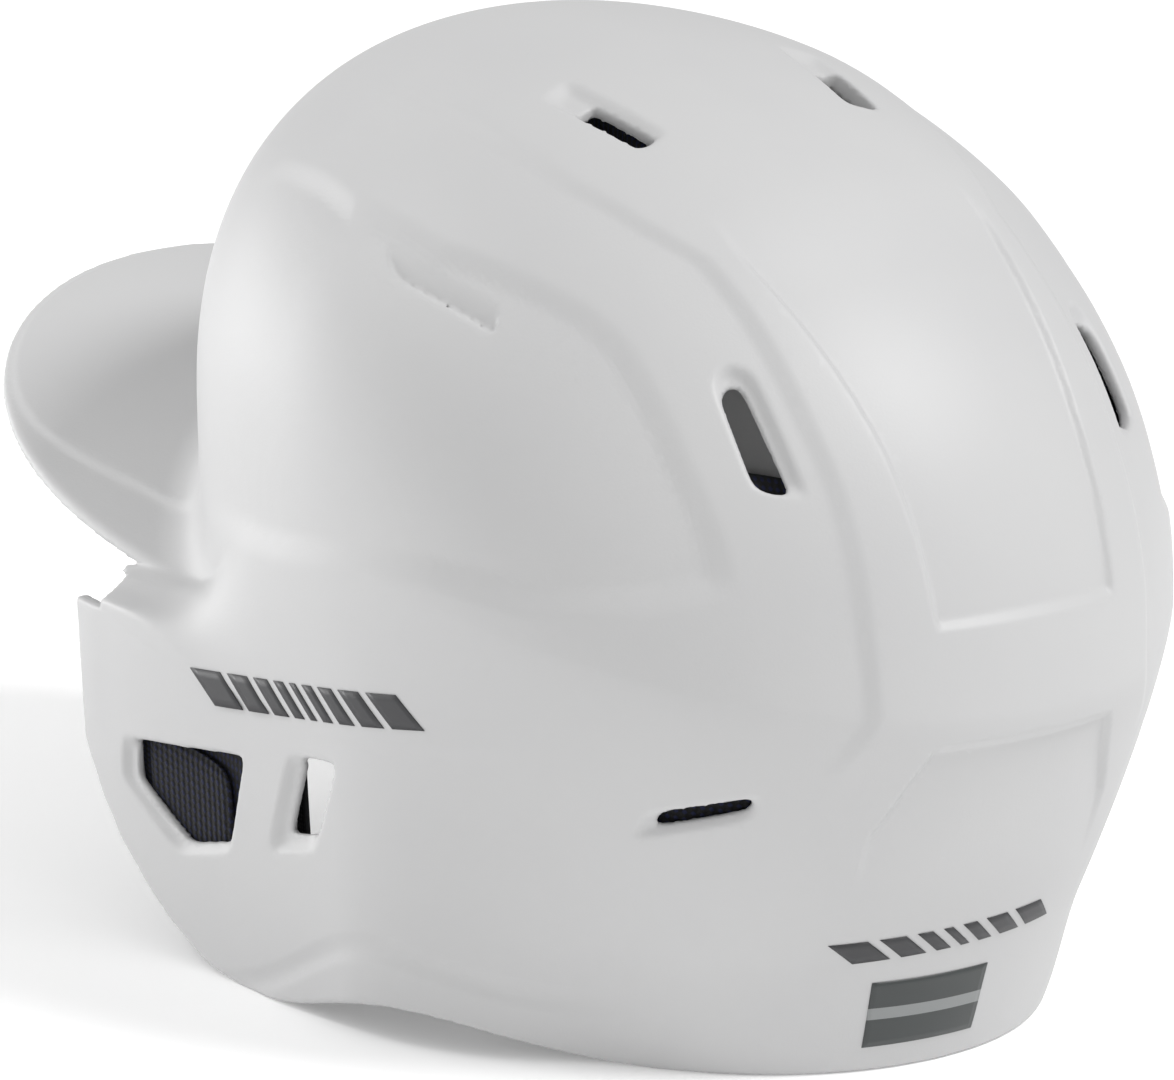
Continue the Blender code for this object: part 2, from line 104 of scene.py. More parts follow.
# Raised band over the crown, and the sunken panels. Bearing is the angle about the X line through
# (y, z) = (0, 100): 0 points to the rear and 90 straight up.
BEARING_CENTRE_Z = 100.0
CROWN_BAND = (
    (-20, 47), (-12, 46.5), (-5, 41), (4, 42), (13, 42), (21, 42), (30, 43), (46, 43),
    (55, 44), (63, 49), (75, 54), (88, 56), (99, 56), (110, 53), (125, 48),
)
SIDE_PANEL_EDGE = (
    (17.5, 66), (29.5, 67.6), (42.7, 67.6), (49, 67.5), (55.7, 69), (67.6, 74),
    (82.6, 79.5), (102, 80), (121.5, 72),
)
SIDE_PANEL_FOOT = ((-90, 116), (-23, 115), (0, 117), (32, 118), (58, 114.5), (81, 117), (95, 122))
REAR_PANEL_EDGE = ((4.5, 26), (13.3, 27), (24.5, 28.5), (41.5, 33), (52.8, 36))
NAPE_PANEL_EDGE = ((60, 35), (81, 26))

# Openings of the left side: corners, heading out of the wall, how far each edge of the sunken lip stands
# off the opening (in the corners' order), and the lip's depth and slope width.
VENTS = {
    "top": {
        "corners": ((32.0, 7.5, 210), (39.8, 9.5, 210), (37.5, 28.5, 210), (30.5, 27.0, 210)),
        "heading": (0.25, 0.05, 1.0),
        "lip": (10.0, 0.8, 2.2, 3.4), "depth": 2.0, "slope": 4.0,
    },
    "rear": {
        "corners": (
            (52.7, 78.9, 161.4), (56.1, 79.0, 158.5), (56.7, 91.5, 140.1),
            (54.4, 93.9, 138.8), (50.3, 96.6, 138.4), (51.0, 80.6, 160.8),
        ),
        "heading": (0.50, 0.75, 0.35),
        "lip": (4.5, 1.2, 0.6, 0.8, 4.2, 5.0), "depth": 2.1, "slope": 3.4,
    },
    "ear": {
        "corners": (
            (104, -75.5, 58.7), (104, -32.5, 63.1), (104, -38.0, 41.7),
            (104, -56.0, 37.7), (104, -76.2, 49.5),
        ),
        "heading": (1.0, 0.0, 0.0),
        "lip": (0.8, 1.0, 3.0, 4.0, 5.0), "depth": 1.7, "slope": 3.2,
    },
    "ear_slot": {
        "corners": ((104, -11.6, 67.1), (104, 1.3, 68.1), (104, -5.3, 50.0), (104, -18.0, 47.5)),
        "heading": (1.0, 0.0, 0.0),
        "lip": (0.8, 0.6, 4.6, 4.6), "depth": 1.8, "slope": 3.4,
    },
    "low": {
        "corners": ((72.5, 75.1, 62.7), (72.1, 78.0, 67.0), (58.7, 94.9, 71.3), (58.8, 93.4, 67.9)),
        "heading": (0.65, 0.75, -0.05),
        "lip": (3.6, 0.8, 1.6, 2.4), "depth": 1.5, "slope": 2.6,
    },
}
SIDE_SCOOP = {
    "corners": ((83.0, -7.0, 186.0), (87.5, 2.0, 178.5), (84.0, 32.5, 170.0), (79.0, 31.0, 176.0)),
    "heading": (0.80, 0.05, 0.60),
}
SIDE_SCOOP_DEPTH = 1.8
DEEPEST_RELIEF = 3.5
THINNEST_WALL = 2.1

# Linings, in millimetres inwards from the outer face.
FOAM_NEAR = WALL + 3.0
FOAM_DEPTH = 8.0
COMFORT_NEAR = FOAM_NEAR + FOAM_DEPTH + 0.3
FASTENER_NEAR = WALL + 1.0
FASTENER_DEPTH = 1.2
FASTENER_SHARE = 0.55
FASTENER_DROP = 0.18
CUSHION_CELL = 3.6
FOAM_CELL = 2.6
PATCH_CELL = 2.0

GRID_STEP = 1.0
GRID_LOW = (0.0, -196.0, -14.0)
GRID_HIGH = (109.0, 127.0, 229.0)
SHELL_TRIANGLES = 190000


def settle_matrix():
    """Millimetres on the dome's own axis to metres in the shared frame."""
    turn = Matrix.Rotation(math.radians(SETTLE_DEG), 4, "X")
    drop = REST_Z * math.cos(math.radians(SETTLE_DEG))
    return Matrix.Scale(MM, 4) @ Matrix.Translation((0, SETTLE_SHIFT_Y, -drop)) @ turn


SETTLE = np.array(settle_matrix())


def settled(points):
    points = np.asarray(points, dtype=float)
    return points @ SETTLE[:3, :3].T + SETTLE[:3, 3]


def smooth(low, high, value):
    share = np.clip((value - low) / (high - low), 0, 1)
    return share * share * (3 - 2 * share)


def knots(table, value):
    """Reads a value off a row of (position, value) pairs."""
    places, values = zip(*table)
    return np.interp(value, places, values)


# ---- the dome's shape ------------------------------------------------------------------------------------


def plan_parts(side, rear):
    """Dome and flap reach by direction, and the heights between which one becomes the other."""
    reach = np.where(rear >= 0, REAR_REACH, FRONT_REACH)
    dome = ((side / HALF_WIDTH) ** PLAN_POWER + (abs(rear) / reach) ** PLAN_POWER) ** (-1 / PLAN_POWER)
    flap = (side / HALF_WIDTH) ** FLAP_PLAN_POWER + (abs(rear) / FLAP_REACH) ** FLAP_PLAN_POWER
    flap = np.where(rear >= 0, dome, flap ** (-1 / FLAP_PLAN_POWER))
    fade = smooth(*FLAP_STEP_FADE_Y, dome * rear)
    low = FLAP_STEP_FRONT[0] + (FLAP_STEP_REAR[0] - FLAP_STEP_FRONT[0]) * fade
    high = FLAP_STEP_FRONT[1] + (FLAP_STEP_REAR[1] - FLAP_STEP_FRONT[1]) * fade
    return dome, flap, low, high


def crown_power(rear):
    return FRONT_CROWN_POWER + (CROWN_POWER - FRONT_CROWN_POWER) * smooth(-0.9, 0.1, rear)


def wall_share(rear, depth, z):
    """How far the wall below the equator draws in, as a share of its plan."""
    taper = SIDE_TAPER + (REAR_TAPER - SIDE_TAPER) * smooth(0.0, TAPER_FULL_AT, rear)
    return 1 - taper * depth**TAPER_POWER + NAPE_FLARE * smooth(0.2, 0.9, rear) * smooth(FLARE_TOP_Z, 0.0, z)


def surface_points(azimuth, level, offset):
    """Points of the outer face moved inwards. Level is 0 at the crown, 1 at the equator, 2 at the foot."""
    side = abs(np.sin(azimuth))
    rear = np.cos(azimuth)
    dome, flap, low, high = plan_parts(side, rear)
    equator = EQUATOR_Z - EQUATOR_TILT * dome * rear
    angle = np.clip(level, 0, 1) * math.pi / 2
    power = 2 / crown_power(rear)
    plan = flap + (dome - flap) * smooth(low - offset, high - offset, equator)
    upper = (plan - offset) * np.sin(angle) ** power
    rise = (CROWN_RISE - offset) * np.clip(np.cos(angle), 0, 1) ** power
    z_low = equator - (equator + RIM_OVERRUN) * (np.clip(level, 1, 2) - 1)
    share = wall_share(rear, (equator - z_low) / equator, z_low)
    full = flap + (dome - flap) * smooth(low, high, z_low)
    moved = flap + (dome - flap) * smooth(low - offset, high - offset, z_low) - offset
    lower = np.where(rear >= 0, full * share - offset, moved + (share - 1) * full)
    radius = np.where(level <= 1, upper, lower)
    y = radius * rear
    z = np.where(level <= 1, EQUATOR_Z + rise - EQUATOR_TILT * y, z_low)
    return np.stack([radius * np.sin(azimuth), y, z], axis=-1)


def level_at(azimuth, z):
    dome = plan_parts(abs(np.sin(azimuth)), np.cos(azimuth))[0]
    equator = EQUATOR_Z - EQUATOR_TILT * dome * np.cos(azimuth)
    return 1 + (equator - z) / (equator + RIM_OVERRUN)


def crown_points(x, y, offset):
    reach = np.where(y >= 0, REAR_REACH, FRONT_REACH) - offset
    share = (abs(x) / (HALF_WIDTH - offset)) ** PLAN_POWER + (abs(y) / reach) ** PLAN_POWER
    share = share ** (1 / PLAN_POWER)
    power = crown_power(y / np.maximum(np.hypot(x, y), 1e-3))
    rise = (CROWN_RISE - offset) * (1 - share**power) ** (1 / power)
    return np.stack([x + 0 * y, y, EQUATOR_Z + rise - EQUATOR_TILT * y], axis=-1)


# ---- the shell as a distance field -----------------------------------------------------------------------


def dome_field(x, y, z):
    """Signed distance to the plain outer face, negative inside. Close to the face it is true to scale."""
    radius = np.hypot(x, y) + 1e-3
    rear = (y + 1e-3) / radius
    dome, flap, low, high = plan_parts(x / radius, rear)
    equator = EQUATOR_Z - EQUATOR_TILT * dome * rear
    depth = np.clip((equator - z) / equator, 0, None)
    plan = flap + (dome - flap) * smooth(low, high, z)
    lower = radius / (plan * wall_share(rear, depth, z)) - 1
    rise = z - EQUATOR_Z + EQUATOR_TILT * y
    power = crown_power(rear)
    plan = flap + (dome - flap) * smooth(low, high, equator)
    upper = ((radius / plan) ** power + (np.maximum(rise, 0) / CROWN_RISE) ** power) ** (1 / power) - 1
    field = (np.where(rise > 0, upper, lower) * 100).astype(np.float32)
    slope = np.gradient(field, GRID_STEP)
    steepness = np.sqrt(slope[0] ** 2 + slope[1] ** 2 + slope[2] ** 2)
    return np.clip(field / np.maximum(steepness, 0.2), -40, 40).astype(np.float32)


CROWN_BAND_RAISE = 1.4
SIDE_PANEL_SINK = 1.7
REAR_PANEL_SINK = 1.6
NAPE_PANEL_SINK = 1.5
BAND_SOFTNESS = 2.0
SIDE_EDGE_SOFTNESS = 2.5
REAR_EDGE_SOFTNESS = 1.1


def panel_relief(x, y, z):
    """How far the outer face is lowered by the crown band and the panels."""
    bearing = np.degrees(np.arctan2(z - BEARING_CENTRE_Z, y))
    band = knots(CROWN_BAND, bearing)
    reach = smooth(-28, -20, bearing) * (1 - smooth(95, 124, bearing)) * smooth(70, 88, z)
    inside = 1 - smooth(band - BAND_SOFTNESS, band + BAND_SOFTNESS, x)
    relief = -CROWN_BAND_RAISE * reach * inside
    edge = knots(SIDE_PANEL_EDGE, bearing)
    foot = knots(SIDE_PANEL_FOOT, y)
    side = smooth(edge - SIDE_EDGE_SOFTNESS, edge + SIDE_EDGE_SOFTNESS, x)
    side = side * smooth(foot - 5, foot + 4, z) * smooth(-72, -22, y)
    relief = relief + SIDE_PANEL_SINK * side
    edge = knots(REAR_PANEL_EDGE, bearing)
    rear = 1 - smooth(edge - REAR_EDGE_SOFTNESS, edge + REAR_EDGE_SOFTNESS, x)
    rear = rear * smooth(3.6, 5.2, bearing) * (1 - smooth(46, 62, bearing))
    relief = relief + REAR_PANEL_SINK * rear * (y > 0)
    edge = knots(NAPE_PANEL_EDGE, z)
    nape = 1 - smooth(edge - REAR_EDGE_SOFTNESS, edge + REAR_EDGE_SOFTNESS, x)
    nape = nape * (1 - smooth(80, 82, z)) * smooth(40, 68, z)
    return (relief + NAPE_PANEL_SINK * nape * (y > 0)).astype(np.float32)


def crease(distance, width, depth):
    """A soft groove along a line of zero distance."""
    return depth * np.clip(1 - (distance / width) ** 2, 0, 1) ** 2


def line_relief(x, y, z):
    """Faint moulded lines on the flaps and the lower sides."""
    flap_line = z - (75.0 - 0.045 * (y + 7) + 0.0016 * (y + 7) ** 2)
    relief = 0.45 * (1 - smooth(-2.2, 2.2, flap_line)) * smooth(-96, -84, y) * (1 - smooth(30, 62, y))
    relief = relief * smooth(50, 66, z)
    low_line = z - (6.0 + 0.105 * (y + 43) + 15.0 * np.exp(-(((y - 8) / 30.0) ** 2)))
    side = smooth(60, 72, x) * smooth(-75, -50, y) * (1 - smooth(40, 70, y))
    return (relief + crease(low_line, 4.0, 0.6) * side).astype(np.float32)


def outline_frame(corners, heading):
    """Flat axes square to the heading, and the corners in them, turning left."""
    corners = np.array(corners, dtype=float)
    heading = np.array(heading, dtype=float)
    heading /= np.linalg.norm(heading)
    across = corners[1] - corners[0]
    across -= heading * (across @ heading)
    across /= np.linalg.norm(across)
    up = np.cross(heading, across)
    centre = corners.mean(0)
    flat = np.stack([(corners - centre) @ across, (corners - centre) @ up], axis=-1)
    follower = np.roll(flat, -1, 0)
    turn = np.sum(flat[:, 0] * follower[:, 1] - flat[:, 1] * follower[:, 0])
    return centre, across, up, flat, 1.0 if turn > 0 else -1.0


def edge_distances(shape, x, y, z):
    """Signed distance to each edge line of an opening, positive outside."""
    centre, across, up, flat, turn = outline_frame(shape["corners"], shape["heading"])
    u = (x - centre[0]) * across[0] + (y - centre[1]) * across[1] + (z - centre[2]) * across[2]
    v = (x - centre[0]) * up[0] + (y - centre[1]) * up[1] + (z - centre[2]) * up[2]
    rows = []
    for index in range(len(flat)):
        start = flat[index]
        run = flat[(index + 1) % len(flat)] - start
        run = run / np.linalg.norm(run) * turn
        rows.append((u - start[0]) * run[1] - (v - start[1]) * run[0])
    return rows


def rounded_max(rows, sharpness):
    total = sum(np.exp(np.clip(row * sharpness, -30, 30)) for row in rows)
    return np.log(total) / sharpness


def near_box(shape, axes, margin):
    """The part of the grid around an opening."""
    corners = np.array(shape["corners"], dtype=float)
    slices = []
    for axis in range(3):
        low = corners[:, axis].min() - margin
        high = corners[:, axis].max() + margin
        slices.append(slice(*np.searchsorted(axes[axis], (low, high))))
    return tuple(slices)


def sub_axes(axes, box):
    x = axes[0][box[0]][:, None, None]
    y = axes[1][box[1]][None, :, None]
    z = axes[2][box[2]][None, None, :]
    return x, y, z


def sink_lips(relief, axes):
    """Sinks the sloped lips round the openings, and the blind scoop of each side panel."""
    for shape in VENTS.values():
        box = near_box(shape, axes, 16)
        rows = edge_distances(shape, *sub_axes(axes, box))
        lip = rounded_max([row - off for row, off in zip(rows, shape["lip"])], 0.9)
        relief[box] += shape["depth"] * smooth(0.0, shape["slope"], -lip)
    box = near_box(SIDE_SCOOP, axes, 16)
    rows = edge_distances(SIDE_SCOOP, *sub_axes(axes, box))
    inside = smooth(-0.2, 1.0, -rounded_max(rows, 1.5))
    relief[box] += SIDE_SCOOP_DEPTH * inside * smooth(-0.5, 9.0, -rows[3])


def cut_openings(field, axes):
    for shape in VENTS.values():
        box = near_box(shape, axes, 16)
        rows = edge_distances(shape, *sub_axes(axes, box))
        hole = rounded_max(rows, 1.1).astype(np.float32)
        field[box] = np.maximum(field[box], -hole)


def blend_union(first, second, width):
    share = np.clip(0.5 + 0.5 * (second - first) / width, 0, 1)
    return second + (first - second) * share - width * share * (1 - share)


def blend_cut(first, second, width):
    return -blend_union(-first, -second, width)


def brim_height(x, y):
    drop = BRIM_DROP * (abs(x) / BRIM_DROP_AT_X) ** BRIM_DROP_POWER
    return BRIM_TIP_Z + BRIM_SLOPE * (y - BRIM_TIP_Y) - drop


def brim_outline(x, y):
    """Distance outside the brim's edge in plan, negative on the brim."""
    half_length = BRIM_CENTRE_Y - BRIM_TIP_Y
    ahead = np.maximum(BRIM_CENTRE_Y - y, 0) / half_length
    share = ((x / BRIM_HALF_WIDTH) ** BRIM_PLAN_POWER + ahead**BRIM_PLAN_POWER) ** (1 / BRIM_PLAN_POWER)
    field = (share - 1) * half_length + 0 * x
    slope = np.gradient(field[:, :, 0], GRID_STEP)
    field = field / np.maximum(np.hypot(*slope), 0.3)[:, :, None]
    return np.maximum(field, y - BRIM_CENTRE_Y)


def brim_field(x, y, z):
    """The brim as a plate with a rounded edge and a lower border band."""
    outline = brim_outline(x, y)
    upright = 1 / np.hypot(1.0, 2 * BRIM_DROP * x / BRIM_DROP_AT_X**2)
    above = (z - brim_height(x, y)) * upright
    band = 2.6 + 11.0 * smooth(-168, -92, y)
    above = above + BRIM_BORDER_DEPTH * smooth(-band - 0.8, -band + 0.8, outline)
    below = -(z - brim_height(x, y)) * upright - BRIM_THICKNESS
    plate = blend_cut(np.maximum(above, below), outline + 0 * z, 2 * EDGE_ROUND)
    return np.clip(plate, -40, 40).astype(np.float32)


def polygon_distance(corners, y, z):
    """Signed distance to a closed outline in the side view, negative inside it."""
    nearest = np.full(np.broadcast(y, z).shape, 1e9)
    inside = np.zeros(nearest.shape, dtype=bool)
    for index, (y1, z1) in enumerate(corners):
        y2, z2 = corners[(index + 1) % len(corners)]
        run = np.array((y2 - y1, z2 - z1))
        share = np.clip(((y - y1) * run[0] + (z - z1) * run[1]) / (run @ run), 0, 1)
        nearest = np.minimum(nearest, np.hypot(y - y1 - share * run[0], z - z1 - share * run[1]))
        crosses = (z1 > z) != (z2 > z)
        if abs(run[1]) > 1e-9:
            inside ^= crosses & (y < y1 + (z - z1) * run[0] / run[1])
    return np.where(inside, -nearest, nearest)


def rest_height(y):
    return REST_Z - math.tan(math.radians(SETTLE_DEG)) * y


def rim_outline():
    """What the rim cut takes away: below the resting plane, in the arch and ahead of the flap."""
    reach = 320.0
    corners = [(-reach, -160.0), (reach, -160.0), (reach, rest_height(reach))]
    for share in np.linspace(1, -1, 21):
        y = RIM_ARCH_CENTRE_Y + share * RIM_ARCH_HALF_LENGTH
        corners.append((y, rest_height(y) + RIM_ARCH_HEIGHT * math.cos(share * math.pi / 2) ** 2))
    corners.append((FLAP_CHIN_Y, rest_height(FLAP_CHIN_Y)))
    corners += list(FLAP_CHIN_YZ)
    return corners + [(FLAP_FRONT_Y, FLAP_TOP_Z), (-reach, FLAP_TOP_Z)]


def opening_field(x, y, z):
    """The clear space over the flaps' fronts, under the brim."""
    roof = np.maximum(brim_height(np.minimum(x, BRIM_DROP_AT_X), y) - OPENING_LIP, FLAP_TOP_Z + 2)
    sides = np.maximum(y - OPENING_BACK_Y, z - roof)
    return np.maximum(sides, FLAP_TOP_Z - 3.1 - z).astype(np.float32)


def shell_field(axes):
    x = axes[0][:, None, None]
    y = axes[1][None, :, None]
    z = axes[2][None, None, :]
    dome = dome_field(x, y, z)
    relief = panel_relief(x, y, z) + line_relief(x, y, z)
    sink_lips(relief, axes)
    relief = np.minimum(relief, DEEPEST_RELIEF)
    outer = blend_union(dome + relief, brim_field(x, y, z), BRIM_FILLET)
    trim = np.minimum(polygon_distance(rim_outline(), axes[1][:, None], axes[2][None, :])[None], 40)
    outer = blend_cut(outer, -trim.astype(np.float32), EDGE_ROUND)
    outer = blend_cut(outer, -opening_field(x, y, z), EDGE_ROUND)
    relief = np.clip(relief, 0, DEEPEST_RELIEF)
    shell = np.maximum(outer, -(dome + np.maximum(WALL, relief + THINNEST_WALL)))
    cut_openings(shell, axes)
    return shell.astype(np.float32)


def sample(field, low, points):
    """Reads the field between grid points."""
    place = (points - low) / GRID_STEP
    cell = np.clip(np.floor(place).astype(int), 0, np.array(field.shape) - 2)
    share = place - cell
    total = np.zeros(len(points))
    for corner in np.ndindex(2, 2, 2):
        weight = np.prod(np.where(corner, share, 1 - share), axis=1)
        index = cell + corner
        total += weight * field[index[:, 0], index[:, 1], index[:, 2]]
    return total


def field_slope(field, low, points):
    step = 0.6 * GRID_STEP
    rows = []
    for axis in np.eye(3):
        rows.append(sample(field, low, points + axis * step) - sample(field, low, points - axis * step))
    return np.stack(rows, axis=1) / (2 * step)


def net_points(field, cells):
    """The middle of the crossings of each cell's edges."""
    corners = [np.array(corner) for corner in np.ndindex(2, 2, 2)]
    total = np.zeros((len(cells), 3))
    hits = np.zeros(len(cells))
    for first in corners:
        for second in corners:
            if tuple(second) <= tuple(first) or abs(second - first).sum() != 1:
                continue
            start = field[tuple((cells + first).T)]
            end = field[tuple((cells + second).T)]
            crosses = (start < 0) != (end < 0)
            share = start / np.where(crosses, start - end, 1)
            total += np.where(crosses[:, None], first + share[:, None] * (second - first), 0)
            hits += crosses
    return cells + total / hits[:, None]


def net_faces(field, number):
    """Four-sided faces across every grid edge that passes through the surface."""
    inside = field < 0
    faces = []
    for axis in range(3):
        one, two = (axis + 1) % 3, (axis + 2) % 3
        near = [slice(1, -1)] * 3
        far = [slice(1, -1)] * 3
        near[axis] = slice(0, -1)
        far[axis] = slice(1, None)
        crosses = inside[tuple(near)] != inside[tuple(far)]
        leaving = inside[tuple(near)][crosses]
        place = np.argwhere(crosses)
        place[:, one] += 1
        place[:, two] += 1
        ring = []
        for back_one, back_two in ((1, 1), (0, 1), (0, 0), (1, 0)):
            cell = place.copy()
            cell[:, one] -= back_one
            cell[:, two] -= back_two
            ring.append(number[tuple(cell.T)])
        ring = np.stack(ring, axis=1)
        faces.append(np.where(leaving[:, None], ring, ring[:, ::-1]))
    return np.concatenate(faces)


def surface_net(field, low):
    inside = field < 0
    count = np.zeros(tuple(size - 1 for size in field.shape), dtype=np.int8)
    for i, j, k in np.ndindex(2, 2, 2):
        count += inside[i:i + count.shape[0], j:j + count.shape[1], k:k + count.shape[2]]
    active = (count > 0) & (count < 8)
    cells = np.argwhere(active)
    number = np.full(count.shape, -1, dtype=np.int64)
    number[active] = np.arange(len(cells))
    points = low + net_points(field, cells) * GRID_STEP
    for _ in range(2):
        slope = field_slope(field, low, points)
        step = sample(field, low, points) / np.maximum((slope**2).sum(1), 0.3)
        move = slope * step[:, None]
        length = np.linalg.norm(move, axis=1)
        limit = 0.3 * GRID_STEP
        points -= move * np.minimum(1, limit / np.maximum(length, 1e-9))[:, None]
    return points, net_faces(field, number)


def mesh_object(name, points, faces):
    mesh = bpy.data.meshes.new(name)
    faces = np.asarray(faces, dtype=np.int32)
    mesh.vertices.add(len(points))
    mesh.vertices.foreach_set("co", np.asarray(points, dtype=np.float32).ravel())
    mesh.loops.add(faces.size)
    mesh.loops.foreach_set("vertex_index", faces.ravel())
    mesh.polygons.add(len(faces))
    mesh.polygons.foreach_set("loop_start", np.arange(0, faces.size, faces.shape[1], dtype=np.int32))
    mesh.update(calc_edges=True)
    mesh.validate()
    obj = bpy.data.objects.new(name, mesh)
    bpy.context.scene.collection.objects.link(obj)
    return obj


def vertex_array(mesh):
    points = np.empty(len(mesh.vertices) * 3, dtype=np.float32)
    mesh.vertices.foreach_get("co", points)
    return points.reshape(-1, 3).astype(float)


def flatten(obj):
    """Makes the object's mesh what its modifiers give."""
    graph = bpy.context.evaluated_depsgraph_get()
    mesh = bpy.data.meshes.new_from_object(obj.evaluated_get(graph))
    obj.modifiers.clear()
    obj.data = mesh


def shade_smooth(obj):
    obj.data.polygons.foreach_set("use_smooth", [True] * len(obj.data.polygons))


def build_shell():
    axes = [np.arange(GRID_LOW[axis], GRID_HIGH[axis], GRID_STEP, dtype=np.float32) for axis in range(3)]
    half = shell_field(axes)
    field = np.concatenate([half[:0:-1], half])
    low = np.array((-axes[0][-1], axes[1][0], axes[2][0]), dtype=float)
    points, faces = surface_net(field, low)
    shell = mesh_object("hard_shell", points, faces)
    if len(faces) * 2 > SHELL_TRIANGLES:
        thin = shell.modifiers.new("thin", "DECIMATE")
        thin.ratio = SHELL_TRIANGLES / (len(faces) * 2)
        flatten(shell)
    points = vertex_array(shell.data)
    normals = field_slope(field, low, points)
    normals /= np.maximum(np.linalg.norm(normals, axis=1), 1e-9)[:, None]
    shell.data.vertices.foreach_set("co", settled(points).astype(np.float32).ravel())
    shade_smooth(shell)
    turned = normals @ (SETTLE[:3, :3].T / MM)
    shell.data.normals_split_custom_set_from_vertices(turned.tolist())
    shell.data.update()
    return shell


# ---- linings ---------------------------------------------------------------------------------------------


def wall_place(centre_deg, half_deg, top_z, low_z, lean):
    def place(across, along, offset):
        azimuth = np.radians(centre_deg + half_deg * across)
        z = (top_z + low_z) / 2 + (top_z - low_z) / 2 * along + lean * (across + 1) / 2 * (1 - along) / 2
        return surface_points(azimuth, level_at(azimuth, z), offset)

    return place


def banner_place(centre_deg, half_deg, middle_z, half_z, rise):
    """Places a label by azimuth, with its height changing by the rise from its middle to its end."""

    def place(across, along, offset):
        azimuth = np.radians(centre_deg + half_deg * across)
        return surface_points(azimuth, level_at(azimuth, middle_z + half_z * along + rise * across), offset)

    return place


def dome_place(centre_deg, half_deg, top_level, low_level):
    def place(across, along, offset):
        azimuth = np.radians(centre_deg + half_deg * across)
        level = (top_level + low_level) / 2 - (low_level - top_level) / 2 * along
        return surface_points(azimuth, level, offset)

    return place


def crown_place(half_width, front_y, rear_y):
    def place(across, along, offset):
        y = (front_y + rear_y) / 2 + (rear_y - front_y) / 2 * along
        return crown_points(half_width * across, y, offset)

    return place


def shrunk(place, share):
    def smaller(across, along, offset):
        return place(across * share, along * share - FASTENER_DROP, offset)

    return smaller


def flipped(place):
    def other(across, along, offset):
        return place(across, along, offset) * (-1, 1, 1)

    return other


def pad_places():
    sides = (
        ("temple", dome_place(120, 15, 0.60, 1.06)),
        ("upper_side", dome_place(80, 21, 0.40, 1.02)),
        ("rear_side", dome_place(35, 20, 0.70, 1.48)),
        ("ear_rear", wall_place(71, 12, 94, 20, 0)),
        ("jaw", wall_place(120.5, 12.5, 74, 14, 30)),
    )
    rows = [
        ("forehead", dome_place(180, 40, 0.60, 1.03)),
        ("crown", crown_place(25, -55, 55)),
        ("nape", wall_place(0, 11.5, 92, 18, 0)),
    ]
    for name, place in sides:
        rows.append((name + "_left", place))
        rows.append((name + "_right", flipped(place)))
    return rows


def patch_size(place, offset):
    """Width and height of a patch along its middle lines."""
    steps = np.linspace(-1, 1, 33)
    zero = np.zeros(33)
    across = np.linalg.norm(np.diff(place(steps, zero, offset + zero), axis=0), axis=1).sum()
    along = np.linalg.norm(np.diff(place(zero, steps, offset + zero), axis=0), axis=1).sum()
    return across, along


def pillow_grid(columns, rows):
    """Positions from -1 to 1 across and along, row by row."""
    across, along = np.meshgrid(np.linspace(-1, 1, columns + 1), np.linspace(-1, 1, rows + 1))
    return across.ravel(), along.ravel()


def ring_indices(columns, rows, inset=0):
    """The loop of grid points that lies the given number of cells inside the edge."""
    width = columns + 1
    low, right, top = inset, columns - inset, rows - inset
    loop = [low * width + column for column in range(low, right + 1)]
    loop += [row * width + right for row in range(low + 1, top + 1)]
    loop += [top * width + column for column in range(right - 1, low - 1, -1)]
    loop += [row * width + low for row in range(top - 1, low, -1)]
    return loop


def closed_pad(name, place, back, front, cell, inset, waist=0.0):
    """A closed pad on a grid. Back and front give offsets by the distance from the nearest edge."""
    width, height = patch_size(place, back(np.array([9.0]))[0])
    columns = max(4, round(width / cell))
    rows = max(4, round(height / cell))
    across, along = pillow_grid(columns, rows)
    pull = 1 - 0.12 * (across * along) ** 4
    drawn_across = across * pull * (1 - inset - waist * (1 - along**2) * abs(across))
    drawn_along = along * pull * (1 - inset - waist * (1 - across**2) * abs(along))
    edge = np.minimum((1 - abs(across)) * width / 2, (1 - abs(along)) * height / 2)
    outer = place(drawn_across, drawn_along, back(edge))
    inner = place(drawn_across, drawn_along, front(edge))
    count = len(across)
    grid = (columns, rows)
    quads = []
    for row in range(rows):
        for column in range(columns):
            first = row * (columns + 1) + column
            quad = (first, first + 1, first + columns + 2, first + columns + 1)
            quads.append(quad)
            quads.append(tuple(count + index for index in reversed(quad)))
    loop = ring_indices(columns, rows)
    for index, first in enumerate(loop):
        follower = loop[(index + 1) % len(loop)]
        quads.append((follower, first, count + first, count + follower))
    obj = mesh_object(name, settled(np.concatenate([outer, inner])), quads)
    lay = np.stack([across * width / 2, along * height / 2], axis=1) * MM
    spread_uv(obj, np.concatenate([lay, lay]))
    face_outwards(obj)
    return obj, grid


def spread_uv(obj, lay):
    layer = obj.data.uv_layers.new(name="cloth")
    corners = np.empty(len(obj.data.loops), dtype=np.int32)
    obj.data.loops.foreach_get("vertex_index", corners)
    layer.data.foreach_set("uv", lay[corners].astype(np.float32).ravel())


def face_outwards(obj):
    work = bmesh.new()
    work.from_mesh(obj.data)
    bmesh.ops.recalc_face_normals(work, faces=work.faces)
    work.to_mesh(obj.data)
    work.free()


def join_copies(name, objects):
    """One mesh holding copies of all the pads, so they are inflated together."""
    points = []
    faces = []
    start = 0
    for obj in objects:
        points.append(vertex_array(obj.data))
        corners = np.empty(len(obj.data.loops), dtype=np.int32)
        obj.data.loops.foreach_get("vertex_index", corners)
        faces.append(corners.reshape(-1, 4) + start)
        start += len(obj.data.vertices)
    return mesh_object(name, np.concatenate(points), np.concatenate(faces))


